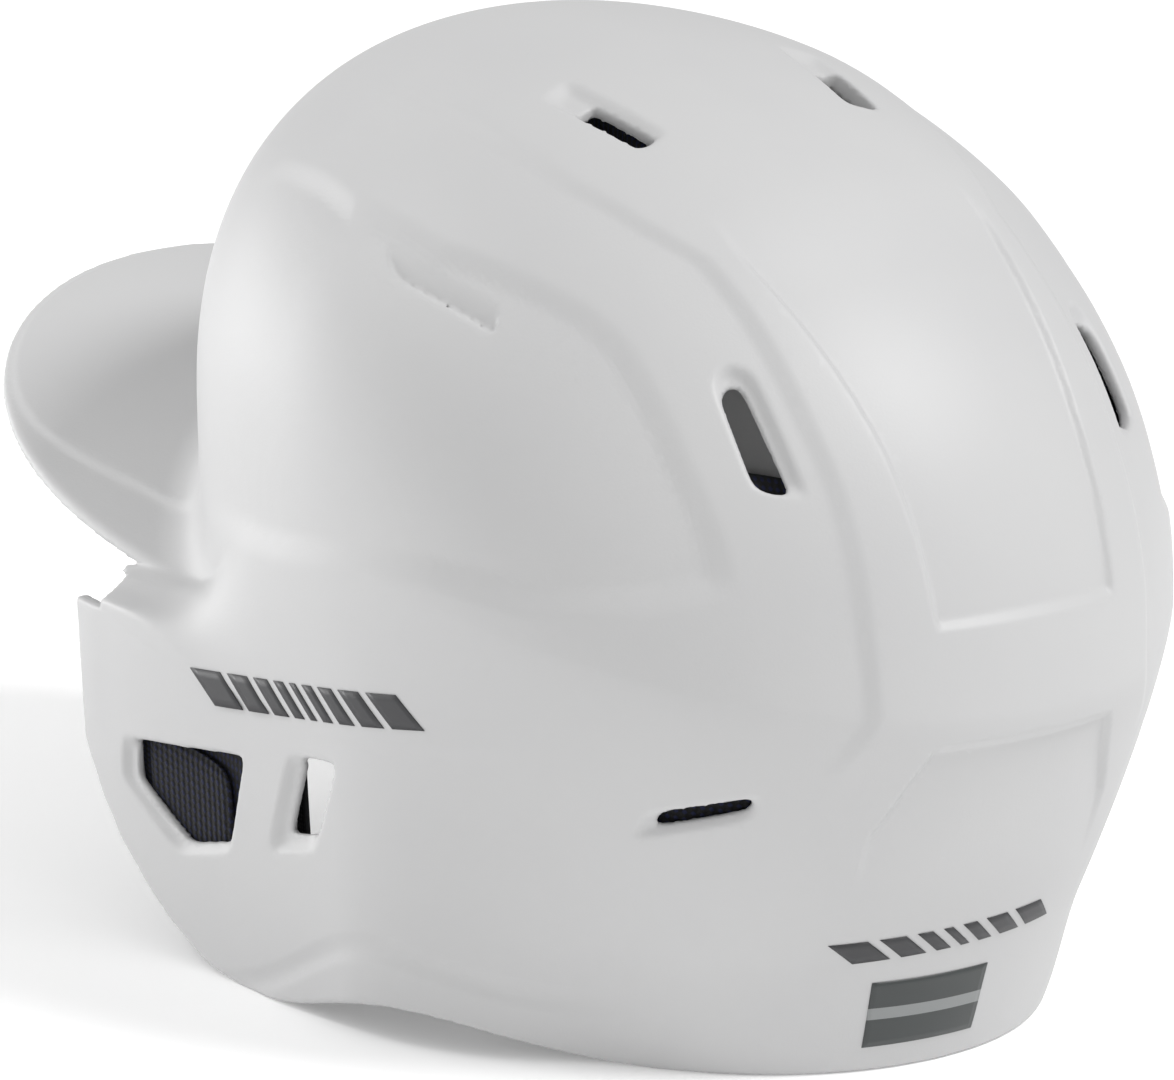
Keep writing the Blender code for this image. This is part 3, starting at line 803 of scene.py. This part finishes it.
PUFF_PRESSURE = 4.0
PUFF_FRAMES = 20
PUFF_LIMIT = 0.0016


def puff(objects):
    """Blows the pads up a little as cloth, caps how far each point moves and hands the shape back."""
    blown = join_copies("blown", objects)
    start = vertex_array(blown.data)
    cloth = blown.modifiers.new("cloth", "CLOTH")
    settings = cloth.settings
    settings.quality = 4
    settings.mass = 0.15
    settings.tension_stiffness = 12
    settings.compression_stiffness = 12
    settings.bending_stiffness = 0.6
    settings.use_pressure = True
    settings.uniform_pressure_force = PUFF_PRESSURE
    settings.effector_weights.gravity = 0
    cloth.collision_settings.use_self_collision = False
    scene = bpy.context.scene
    scene.frame_start = 1
    scene.frame_end = PUFF_FRAMES
    for number in range(1, PUFF_FRAMES + 1):
        scene.frame_set(number)
    flatten(blown)
    moved = vertex_array(blown.data) - start
    scene.frame_set(1)
    length = np.linalg.norm(moved, axis=1)
    moved *= (np.minimum(length, PUFF_LIMIT) / np.maximum(length, 1e-9))[:, None]
    first = 0
    for obj in objects:
        count = len(obj.data.vertices)
        points = vertex_array(obj.data) + moved[first:first + count]
        obj.data.vertices.foreach_set("co", points.astype(np.float32).ravel())
        obj.data.update()
        first += count
    bpy.data.objects.remove(blown)


def build_cushions():
    """The soft layer of each pad, sewn from knitted cloth over thin foam."""
    made = {}

    def back(edge):
        return COMFORT_NEAR + 0.4 + 0.9 * (1 - smooth(0, 5, edge))

    def front(edge):
        return COMFORT_NEAR + 2.3 + 1.9 * smooth(0, 11, edge)

    for name, place in pad_places():
        made[name] = closed_pad(name + "_cushion", place, back, front, CUSHION_CELL, 0.02, 0.022)
    puff([pair[0] for pair in made.values()])
    return made


def build_foams():
    """The firm layer of each pad, with rounded edges."""
    made = {}

    def back(edge):
        return FOAM_NEAR + 1.6 * (1 - smooth(0, 3.0, edge))

    def front(edge):
        return FOAM_NEAR + FOAM_DEPTH - 2.0 * (1 - smooth(0, 3.5, edge))

    for name, place in pad_places():
        made[name] = closed_pad(name + "_firm_foam", place, back, front, FOAM_CELL, 0.0)
    return made


def build_fasteners():
    """The hook-and-loop patch behind each pad."""
    made = {}

    def back(edge):
        return FASTENER_NEAR + 0.3 * (1 - smooth(0, 1.0, edge))

    def front(edge):
        return FASTENER_NEAR + FASTENER_DEPTH - 0.3 * (1 - smooth(0, 1.0, edge))

    for name, place in pad_places():
        small = shrunk(place, FASTENER_SHARE)
        made[name] = closed_pad(name + "_hook_patch", small, back, front, PATCH_CELL, 0.0)
    return made


def round_off(obj, levels):
    soften = obj.modifiers.new("soften", "SUBSURF")
    soften.levels = levels
    soften.render_levels = levels
    flatten(obj)
    shade_smooth(obj)


# ---- node trees for repeated pieces ----------------------------------------------------------------------


def tree_socket(tree, name, kind, way):
    return tree.interface.new_socket(name=name, in_out=way, socket_type=kind)


def stitch_tree(material):
    """Small thread stitches laid end to end along an edge path."""
    tree = bpy.data.node_groups.new("stitch_row", "GeometryNodeTree")
    tree_socket(tree, "Geometry", "NodeSocketGeometry", "INPUT")
    spacing = tree_socket(tree, "Spacing", "NodeSocketFloat", "INPUT")
    thread = tree_socket(tree, "Thread", "NodeSocketFloat", "INPUT")
    tree_socket(tree, "Geometry", "NodeSocketGeometry", "OUTPUT")
    nodes = tree.nodes
    links = tree.links
    entry = nodes.new("NodeGroupInput")
    curve = nodes.new("GeometryNodeMeshToCurve")
    spaced = nodes.new("GeometryNodeResampleCurve")
    spaced.mode = "LENGTH"
    tangent = nodes.new("GeometryNodeInputTangent")
    aim = nodes.new("FunctionNodeAlignEulerToVector")
    aim.axis = "Z"
    bead = nodes.new("GeometryNodeMeshUVSphere")
    bead.inputs["Segments"].default_value = 6
    bead.inputs["Rings"].default_value = 4
    bead.inputs["Radius"].default_value = 1.0
    size = nodes.new("ShaderNodeCombineXYZ")
    length = nodes.new("ShaderNodeMath")
    length.operation = "MULTIPLY"
    length.inputs[1].default_value = 0.36
    place = nodes.new("GeometryNodeInstanceOnPoints")
    real = nodes.new("GeometryNodeRealizeInstances")
    cover = nodes.new("GeometryNodeSetMaterial")
    cover.inputs["Material"].default_value = material
    leave = nodes.new("NodeGroupOutput")
    links.new(entry.outputs["Geometry"], curve.inputs["Mesh"])
    links.new(curve.outputs["Curve"], spaced.inputs["Curve"])
    links.new(entry.outputs["Spacing"], spaced.inputs["Length"])
    links.new(spaced.outputs["Curve"], place.inputs["Points"])
    links.new(bead.outputs["Mesh"], place.inputs["Instance"])
    links.new(tangent.outputs["Tangent"], aim.inputs["Vector"])
    links.new(aim.outputs["Rotation"], place.inputs["Rotation"])
    links.new(entry.outputs["Spacing"], length.inputs[0])
    links.new(entry.outputs["Thread"], size.inputs["X"])
    links.new(entry.outputs["Thread"], size.inputs["Y"])
    links.new(length.outputs["Value"], size.inputs["Z"])
    links.new(size.outputs["Vector"], place.inputs["Scale"])
    links.new(place.outputs["Instances"], real.inputs["Geometry"])
    links.new(real.outputs["Geometry"], cover.inputs["Geometry"])
    links.new(cover.outputs["Geometry"], leave.inputs["Geometry"])
    return tree, spacing.identifier, thread.identifier


def binding_tree(material):
    """A round cord laid along an edge path."""
    tree = bpy.data.node_groups.new("edge_binding", "GeometryNodeTree")
    tree_socket(tree, "Geometry", "NodeSocketGeometry", "INPUT")
    radius = tree_socket(tree, "Radius", "NodeSocketFloat", "INPUT")
    tree_socket(tree, "Geometry", "NodeSocketGeometry", "OUTPUT")
    nodes = tree.nodes
    links = tree.links
    entry = nodes.new("NodeGroupInput")
    curve = nodes.new("GeometryNodeMeshToCurve")
    spaced = nodes.new("GeometryNodeResampleCurve")
    spaced.mode = "LENGTH"
    spaced.inputs["Length"].default_value = 0.002
    ring = nodes.new("GeometryNodeCurvePrimitiveCircle")
    ring.inputs["Resolution"].default_value = 8
    sweep = nodes.new("GeometryNodeCurveToMesh")
    cover = nodes.new("GeometryNodeSetMaterial")
    cover.inputs["Material"].default_value = material
    smooth_node = nodes.new("GeometryNodeSetShadeSmooth")
    real = nodes.new("GeometryNodeRealizeInstances")
    leave = nodes.new("NodeGroupOutput")
    links.new(entry.outputs["Geometry"], curve.inputs["Mesh"])
    links.new(curve.outputs["Curve"], spaced.inputs["Curve"])
    links.new(spaced.outputs["Curve"], sweep.inputs["Curve"])
    links.new(entry.outputs["Radius"], ring.inputs["Radius"])
    links.new(ring.outputs["Curve"], sweep.inputs["Profile Curve"])
    links.new(sweep.outputs["Mesh"], smooth_node.inputs["Geometry"])
    links.new(smooth_node.outputs["Geometry"], real.inputs["Geometry"])
    links.new(real.outputs["Geometry"], cover.inputs["Geometry"])
    links.new(cover.outputs["Geometry"], leave.inputs["Geometry"])
    return tree, radius.identifier


def loop_paths(name, loops):
    """Closed edge loops as one mesh of edges."""
    points = []
    edges = []
    for loop in loops:
        start = len(points)
        points += [tuple(point) for point in loop]
        edges += [(start + index, start + (index + 1) % len(loop)) for index in range(len(loop))]
    mesh = bpy.data.meshes.new(name)
    mesh.from_pydata(points, edges, [])
    obj = bpy.data.objects.new(name, mesh)
    bpy.context.scene.collection.objects.link(obj)
    return obj


def run_tree(obj, tree, values):
    grow = obj.modifiers.new("grow", "NODES")
    grow.node_group = tree
    for identifier, value in values.items():
        grow[identifier] = value
    flatten(obj)
    shade_smooth(obj)


def build_seams(cushions, thread, binding):
    """The cord round each cushion's edge and a row of stitches just inside it."""
    edges = []
    rows = []
    for obj, (columns, count) in cushions.values():
        points = vertex_array(obj.data)
        half = (columns + 1) * (count + 1)
        ring = ring_indices(columns, count)
        back = points[ring]
        front = points[[half + index for index in ring]]
        edges.append(back * 0.45 + front * 0.55)
        inner = [half + index for index in ring_indices(columns, count, 2)]
        rows.append(points[inner])
    cord = loop_paths("pad_edge_binding", edges)
    tree, radius = binding_tree(binding)
    run_tree(cord, tree, {radius: 0.0007})
    lift = []
    for (obj, grid), row in zip(cushions.values(), rows):
        middle = vertex_array(obj.data).mean(0)
        towards = np.array((0.0, 0.045, 0.09)) - middle
        towards /= np.linalg.norm(towards)
        lift.append(row + towards * 0.00015)
    stitches = loop_paths("pad_stitching", lift)
    tree, spacing, width = stitch_tree(thread)
    run_tree(stitches, tree, {spacing: 0.0030, width: 0.00028})
    return cord, stitches


# ---- printed marks ---------------------------------------------------------------------------------------


def film_piece(name, place, outlines, cell):
    """Thin raised shapes that follow the wall; each outline is (left, right, lean) in shares of the label."""
    points = []
    quads = []
    width, height = patch_size(place, 0.0)
    for left, right, low, high, lean in outlines:
        columns = max(1, round((right - left) / 2 * width / cell))
        rows = max(1, round((high - low) / 2 * height / cell))
        along, across = np.meshgrid(np.linspace(low, high, rows + 1), np.linspace(left, right, columns + 1))
        across = (across + lean * along).ravel()
        along = along.ravel()
        count = len(along)
        start = sum(len(block) for block in points)
        points.append(place(across, along, np.full(count, 0.15)))
        points.append(place(across, along, np.full(count, -0.22)))
        for column in range(columns):
            for row in range(rows):
                first = start + column * (rows + 1) + row
                quad = (first, first + 1, first + rows + 2, first + rows + 1)
                quads.append(quad)
                quads.append(tuple(index + count for index in reversed(quad)))
        loop = [column * (rows + 1) for column in range(columns + 1)]
        loop += [columns * (rows + 1) + row for row in range(1, rows + 1)]
        loop += [column * (rows + 1) + rows for column in range(columns - 1, -1, -1)]
        loop += list(range(rows - 1, 0, -1))
        for index, first in enumerate(loop):
            follower = loop[(index + 1) % len(loop)]
            quads.append((start + first, start + follower, start + count + follower, start + count + first))
    obj = mesh_object(name, settled(np.concatenate(points)), quads)
    face_outwards(obj)
    return obj


def slanted_bars(widths, gap, lean):
    """Bars of the given widths side by side across the whole label."""
    total = sum(widths) + gap * (len(widths) - 1)
    place = -1.0 + lean
    scale = (2.0 - 2 * lean) / total
    rows = []
    for width in widths:
        rows.append((place, place + width * scale, -1.0, 1.0, lean))
        place += (width + gap) * scale
    return rows


SIDE_BARS = (3.0, 2.2, 1.6, 1.1, 0.7, 1.1, 1.6, 2.2, 3.0)
REAR_BARS = (2.6, 1.8, 1.1, 0.7, 1.1, 1.8, 2.6)


# Labels: azimuth of the middle, half width in degrees, height of the middle, half height, rise to the end.
SIDE_LABEL = (94.9, 21.2, 80.6, 4.0, -3.9)
REAR_LABEL = (3.0, 18.3, 31.9, 2.7, -1.3)
REAR_BADGE = (5.0, 9.3, 14.6, 8.1, 0.0)


def build_marks():
    side = banner_place(*SIDE_LABEL)
    made = []
    for name, place in (("side_label_left", side), ("side_label_right", flipped(side))):
        made.append((film_piece(name + "_bars", place, slanted_bars(SIDE_BARS, 0.8, 0.10), 2.0), name))
    rear = banner_place(*REAR_LABEL)
    made.append((film_piece("rear_label_bars", rear, slanted_bars(REAR_BARS, 0.8, 0.10), 2.0), "rear_label"))
    badge = banner_place(*REAR_BADGE)
    made.append((film_piece("rear_badge_film", badge, [(-1, 1, -1, 1, 0)], 1.5), "rear_badge"))
    return made


# ---- materials -------------------------------------------------------------------------------------------


def new_group(name, inputs, outputs):
    group = bpy.data.node_groups.new(name, "ShaderNodeTree")
    for title, kind, value in inputs:
        made = group.interface.new_socket(name=title, in_out="INPUT", socket_type=kind)
        made.default_value = value
    for title, kind in outputs:
        group.interface.new_socket(name=title, in_out="OUTPUT", socket_type=kind)
    entry = group.nodes.new("NodeGroupInput")
    leave = group.nodes.new("NodeGroupOutput")
    return group, entry, leave


def math_node(tree, operation, first, second=None):
    node = tree.nodes.new("ShaderNodeMath")
    node.operation = operation
    for index, value in enumerate((first, second)):
        if value is None:
            continue
        if isinstance(value, (int, float)):
            node.inputs[index].default_value = value
        else:
            tree.links.new(value, node.inputs[index])
    return node.outputs[0]


def noise_node(tree, vector, scale, detail):
    node = tree.nodes.new("ShaderNodeTexNoise")
    node.inputs["Detail"].default_value = detail
    tree.links.new(vector, node.inputs["Vector"])
    if isinstance(scale, (int, float)):
        node.inputs["Scale"].default_value = scale
    else:
        tree.links.new(scale, node.inputs["Scale"])
    return node.outputs["Fac"]


def grain_group():
    """Fine moulded grain: a height for bump and a slow mask for tone and gloss."""
    group, entry, leave = new_group(
        "moulded_grain",
        [("Grain", "NodeSocketFloat", 900.0), ("Patches", "NodeSocketFloat", 18.0)],
        [("Height", "NodeSocketFloat"), ("Mask", "NodeSocketFloat")],
    )
    place = group.nodes.new("ShaderNodeTexCoord").outputs["Object"]
    fine = noise_node(group, place, entry.outputs["Grain"], 3.0)
    slow = noise_node(group, place, entry.outputs["Patches"], 4.0)
    group.links.new(fine, leave.inputs["Height"])
    group.links.new(slow, leave.inputs["Mask"])
    return group


def knit_group():
    """Knitted cloth: rows of small cells on the piece's own lay, given as a height and a cell mask."""
    group, entry, leave = new_group(
        "knit",
        [("Pitch", "NodeSocketFloat", 0.0016)],
        [("Height", "NodeSocketFloat"), ("Cells", "NodeSocketFloat"), ("Fuzz", "NodeSocketFloat")],
    )
    lay = group.nodes.new("ShaderNodeUVMap")
    lay.uv_map = "cloth"
    split = group.nodes.new("ShaderNodeSeparateXYZ")
    group.links.new(lay.outputs["UV"], split.inputs["Vector"])
    turns = math_node(group, "DIVIDE", 6.28318, entry.outputs["Pitch"])
    across = math_node(group, "MULTIPLY", split.outputs["X"], turns)
    along = math_node(group, "MULTIPLY", split.outputs["Y"], turns)
    one = math_node(group, "SINE", math_node(group, "ADD", across, along))
    two = math_node(group, "SINE", math_node(group, "SUBTRACT", across, along))
    product = math_node(group, "MULTIPLY", one, two)
    cells = math_node(group, "GREATER_THAN", product, 0.35)
    fuzz_place = group.nodes.new("ShaderNodeTexCoord").outputs["Object"]
    fuzz = noise_node(group, fuzz_place, 2600.0, 2.0)
    height = math_node(group, "ADD", product, math_node(group, "MULTIPLY", fuzz, 0.5))
    group.links.new(height, leave.inputs["Height"])
    group.links.new(cells, leave.inputs["Cells"])
    group.links.new(fuzz, leave.inputs["Fuzz"])
    return group


def place_group(material, group, values):
    node = material.node_tree.nodes.new("ShaderNodeGroup")
    node.node_tree = group
    for name, value in values.items():
        node.inputs[name].default_value = value
    return node


def bump_into(material, height, strength, distance):
    tree = material.node_tree
    bump = tree.nodes.new("ShaderNodeBump")
    bump.inputs["Strength"].default_value = strength
    bump.inputs["Distance"].default_value = distance
    tree.links.new(height, bump.inputs["Height"])
    tree.links.new(bump.outputs["Normal"], tree.nodes["Principled BSDF"].inputs["Normal"])


def two_tone(material, mask, first, second):
    """Base Color between two tones by a mask."""
    tree = material.node_tree
    mix = tree.nodes.new("ShaderNodeMix")
    mix.data_type = "RGBA"
    mix.inputs["A"].default_value = (*first, 1)
    mix.inputs["B"].default_value = (*second, 1)
    tree.links.new(mask, mix.inputs["Factor"])
    tree.links.new(mix.outputs["Result"], tree.nodes["Principled BSDF"].inputs["Base Color"])


def rough_between(material, mask, low, high):
    tree = material.node_tree
    spread = tree.nodes.new("ShaderNodeMapRange")
    spread.inputs["To Min"].default_value = low
    spread.inputs["To Max"].default_value = high
    tree.links.new(mask, spread.inputs["Value"])
    tree.links.new(spread.outputs["Result"], tree.nodes["Principled BSDF"].inputs["Roughness"])


def new_material(name):
    material = bpy.data.materials.new(name)
    material.use_nodes = True
    return material, material.node_tree.nodes["Principled BSDF"]


def matte_white(grain):
    material, shader = new_material("matte_white_plastic")
    node = place_group(material, grain, {"Grain": 1400.0, "Patches": 22.0})
    two_tone(material, node.outputs["Mask"], (0.50, 0.50, 0.505), (0.53, 0.53, 0.53))
    rough_between(material, node.outputs["Mask"], 0.42, 0.56)
    bump_into(material, node.outputs["Height"], 0.12, 0.0002)
    shader.inputs["Specular IOR Level"].default_value = 0.4
    return material


def firm_foam(knit):
    material = new_material("backed_foam")[0]
    node = place_group(material, knit, {"Pitch": 0.0034})
    two_tone(material, node.outputs["Cells"], (0.006, 0.006, 0.007), (0.008, 0.011, 0.045))
    rough_between(material, node.outputs["Fuzz"], 0.75, 0.95)
    bump_into(material, node.outputs["Height"], 0.35, 0.0004)
    return material


def knit_cloth(knit):
    material, shader = new_material("knitted_cloth")
    node = place_group(material, knit, {"Pitch": 0.0016})
    two_tone(material, node.outputs["Cells"], (0.006, 0.006, 0.007), (0.020, 0.020, 0.024))
    rough_between(material, node.outputs["Fuzz"], 0.8, 1.0)
    bump_into(material, node.outputs["Height"], 0.5, 0.0003)
    shader.inputs["Sheen Weight"].default_value = 0.15
    return material


def thread_black(grain):
    material = new_material("black_thread")[0]
    node = place_group(material, grain, {"Grain": 5000.0, "Patches": 300.0})
    two_tone(material, node.outputs["Mask"], (0.012, 0.012, 0.014), (0.035, 0.035, 0.04))
    rough_between(material, node.outputs["Mask"], 0.6, 0.85)
    bump_into(material, node.outputs["Height"], 0.4, 0.0001)
    return material


def hook_and_loop(knit):
    material = new_material("hook_and_loop")[0]
    node = place_group(material, knit, {"Pitch": 0.0042})
    two_tone(material, node.outputs["Cells"], (0.004, 0.004, 0.005), (0.008, 0.011, 0.040))
    rough_between(material, node.outputs["Fuzz"], 0.8, 1.0)
    bump_into(material, node.outputs["Height"], 0.8, 0.0006)
    return material


def dark_print(grain):
    material = new_material("dark_print")[0]
    node = place_group(material, grain, {"Grain": 3000.0, "Patches": 60.0})
    two_tone(material, node.outputs["Mask"], (0.035, 0.035, 0.038), (0.05, 0.05, 0.053))
    rough_between(material, node.outputs["Mask"], 0.4, 0.55)
    bump_into(material, node.outputs["Height"], 0.08, 0.0001)
    return material


BADGE_FOOT = 0.006
BADGE_HEAD = 0.024


def badge_print(grain):
    """Plain level bands in two greys."""
    material, shader = new_material("banded_print")
    tree = material.node_tree
    place = tree.nodes.new("ShaderNodeTexCoord").outputs["Object"]
    split = tree.nodes.new("ShaderNodeSeparateXYZ")
    tree.links.new(place, split.inputs["Vector"])
    spread = tree.nodes.new("ShaderNodeMapRange")
    spread.inputs["From Min"].default_value = BADGE_FOOT
    spread.inputs["From Max"].default_value = BADGE_HEAD
    tree.links.new(split.outputs["Z"], spread.inputs["Value"])
    ramp = tree.nodes.new("ShaderNodeValToRGB")
    ramp.color_ramp.interpolation = "CONSTANT"
    stops = ramp.color_ramp.elements
    stops[0].color = (0.045, 0.050, 0.050, 1)
    stops[1].position = 0.42
    stops[1].color = (0.24, 0.25, 0.25, 1)
    last = stops.new(0.58)
    last.color = (0.045, 0.050, 0.050, 1)
    tree.links.new(spread.outputs["Result"], ramp.inputs["Fac"])
    tree.links.new(ramp.outputs["Color"], shader.inputs["Base Color"])
    node = place_group(material, grain, {"Grain": 3000.0, "Patches": 60.0})
    rough_between(material, node.outputs["Mask"], 0.32, 0.45)
    bump_into(material, node.outputs["Height"], 0.06, 0.0001)
    return material


def floor_paint():
    material, shader = new_material("pale_floor")
    shader.inputs["Base Color"].default_value = (0.93, 0.93, 0.93, 1)
    shader.inputs["Emission Color"].default_value = (1, 1, 1, 1)
    shader.inputs["Emission Strength"].default_value = 0.18
    shader.inputs["Roughness"].default_value = 0.9
    return material


def dress(obj, material):
    obj.data.materials.clear()
    obj.data.materials.append(material)


# ---- putting it together ---------------------------------------------------------------------------------


def settle_piece(obj, material, slot, *nodes):
    dress(obj, material)
    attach(obj, "root")
    if nodes:
        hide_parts(*nodes)


def build_helmet():
    grain = grain_group()
    knit = knit_group()
    foam_finish = firm_foam(knit)
    cloth_finish = knit_cloth(knit)
    thread = thread_black(grain)
    settle_piece(build_shell(), matte_white(grain), "shell", "helmet_shell")
    cushions = build_cushions()
    cord, stitches = build_seams(cushions, thread, thread)
    for name, (obj, grid) in cushions.items():
        round_off(obj, 1)
        settle_piece(obj, cloth_finish, "comfort", name + "_comfort")
    for name, (obj, grid) in build_foams().items():
        shade_smooth(obj)
        settle_piece(obj, foam_finish, "foam", name + "_foam")
    settle_piece(cord, thread, "comfort")
    settle_piece(stitches, thread, "comfort")
    patch_finish = hook_and_loop(knit)
    for name, (obj, grid) in build_fasteners().items():
        shade_smooth(obj)
        settle_piece(obj, patch_finish, "fastener", name + "_fastener")
    dark = dark_print(grain)
    badge = badge_print(grain)
    for obj, node in build_marks():
        if node == "rear_badge":
            settle_piece(obj, badge, "rear_print", node)
        else:
            settle_piece(obj, dark, "side_print", node)


def build_stage():
    mesh = bpy.data.meshes.new("floor")
    mesh.from_pydata([(-6, -6, 0), (6, -6, 0), (6, 6, 0), (-6, 6, 0)], [], [(0, 1, 2, 3)])
    floor = bpy.data.objects.new("floor", mesh)
    bpy.context.scene.collection.objects.link(floor)
    dress(floor, floor_paint())


def area_light(name, place, target, size, power):
    data = bpy.data.lights.new(name, "AREA")
    data.shape = "DISK"
    data.size = size
    data.energy = power
    lamp = bpy.data.objects.new(name, data)
    lamp.location = place
    lamp.rotation_euler = (Vector(target) - Vector(place)).to_track_quat("-Z", "Y").to_euler()
    bpy.context.scene.collection.objects.link(lamp)


def build_light():
    world = bpy.data.worlds.new("studio")
    world.use_nodes = True
    backdrop = world.node_tree.nodes["Background"]
    backdrop.inputs["Color"].default_value = (1, 1, 1, 1)
    backdrop.inputs["Strength"].default_value = 0.48
    tree = world.node_tree
    seen = tree.nodes.new("ShaderNodeBackground")
    seen.inputs["Color"].default_value = (1, 1, 1, 1)
    path = tree.nodes.new("ShaderNodeLightPath")
    mix = tree.nodes.new("ShaderNodeMixShader")
    tree.links.new(path.outputs["Is Camera Ray"], mix.inputs["Fac"])
    tree.links.new(backdrop.outputs["Background"], mix.inputs[1])
    tree.links.new(seen.outputs["Background"], mix.inputs[2])
    tree.links.new(mix.outputs["Shader"], tree.nodes["World Output"].inputs["Surface"])
    bpy.context.scene.world = world
    bpy.context.scene.view_settings.view_transform = "Standard"
    area_light("key", (-0.75, 1.05, 1.75), (0, 0, 0.12), 0.7, 30)
    area_light("fill", (1.5, 0.9, 0.6), (0, 0, 0.1), 1.2, 4)
    area_light("brim_top", (0.9, -0.9, 1.5), (0.0, -0.12, 0.12), 0.6, 7)
    area_light("low_front", (0.55, -1.2, 0.25), (-0.04, 0.0, 0.10), 0.7, 9)


def build_camera():
    data = bpy.data.cameras.new("view")
    data.sensor_width = 36.0
    data.lens = 339.05
    data.clip_end = 30.0
    camera = bpy.data.objects.new("view", data)
    camera.matrix_world = Matrix((
        (-0.761538, -0.147999, 0.630996, 1.616358),
        (0.646911, -0.233009, 0.726094, 1.863700),
        (0.039567, 0.961147, 0.273187, 0.790346),
        (0, 0, 0, 1),
    ))
    bpy.context.scene.collection.objects.link(camera)
    bpy.context.scene.camera = camera


build_helmet()
build_stage()
build_light()
build_camera()
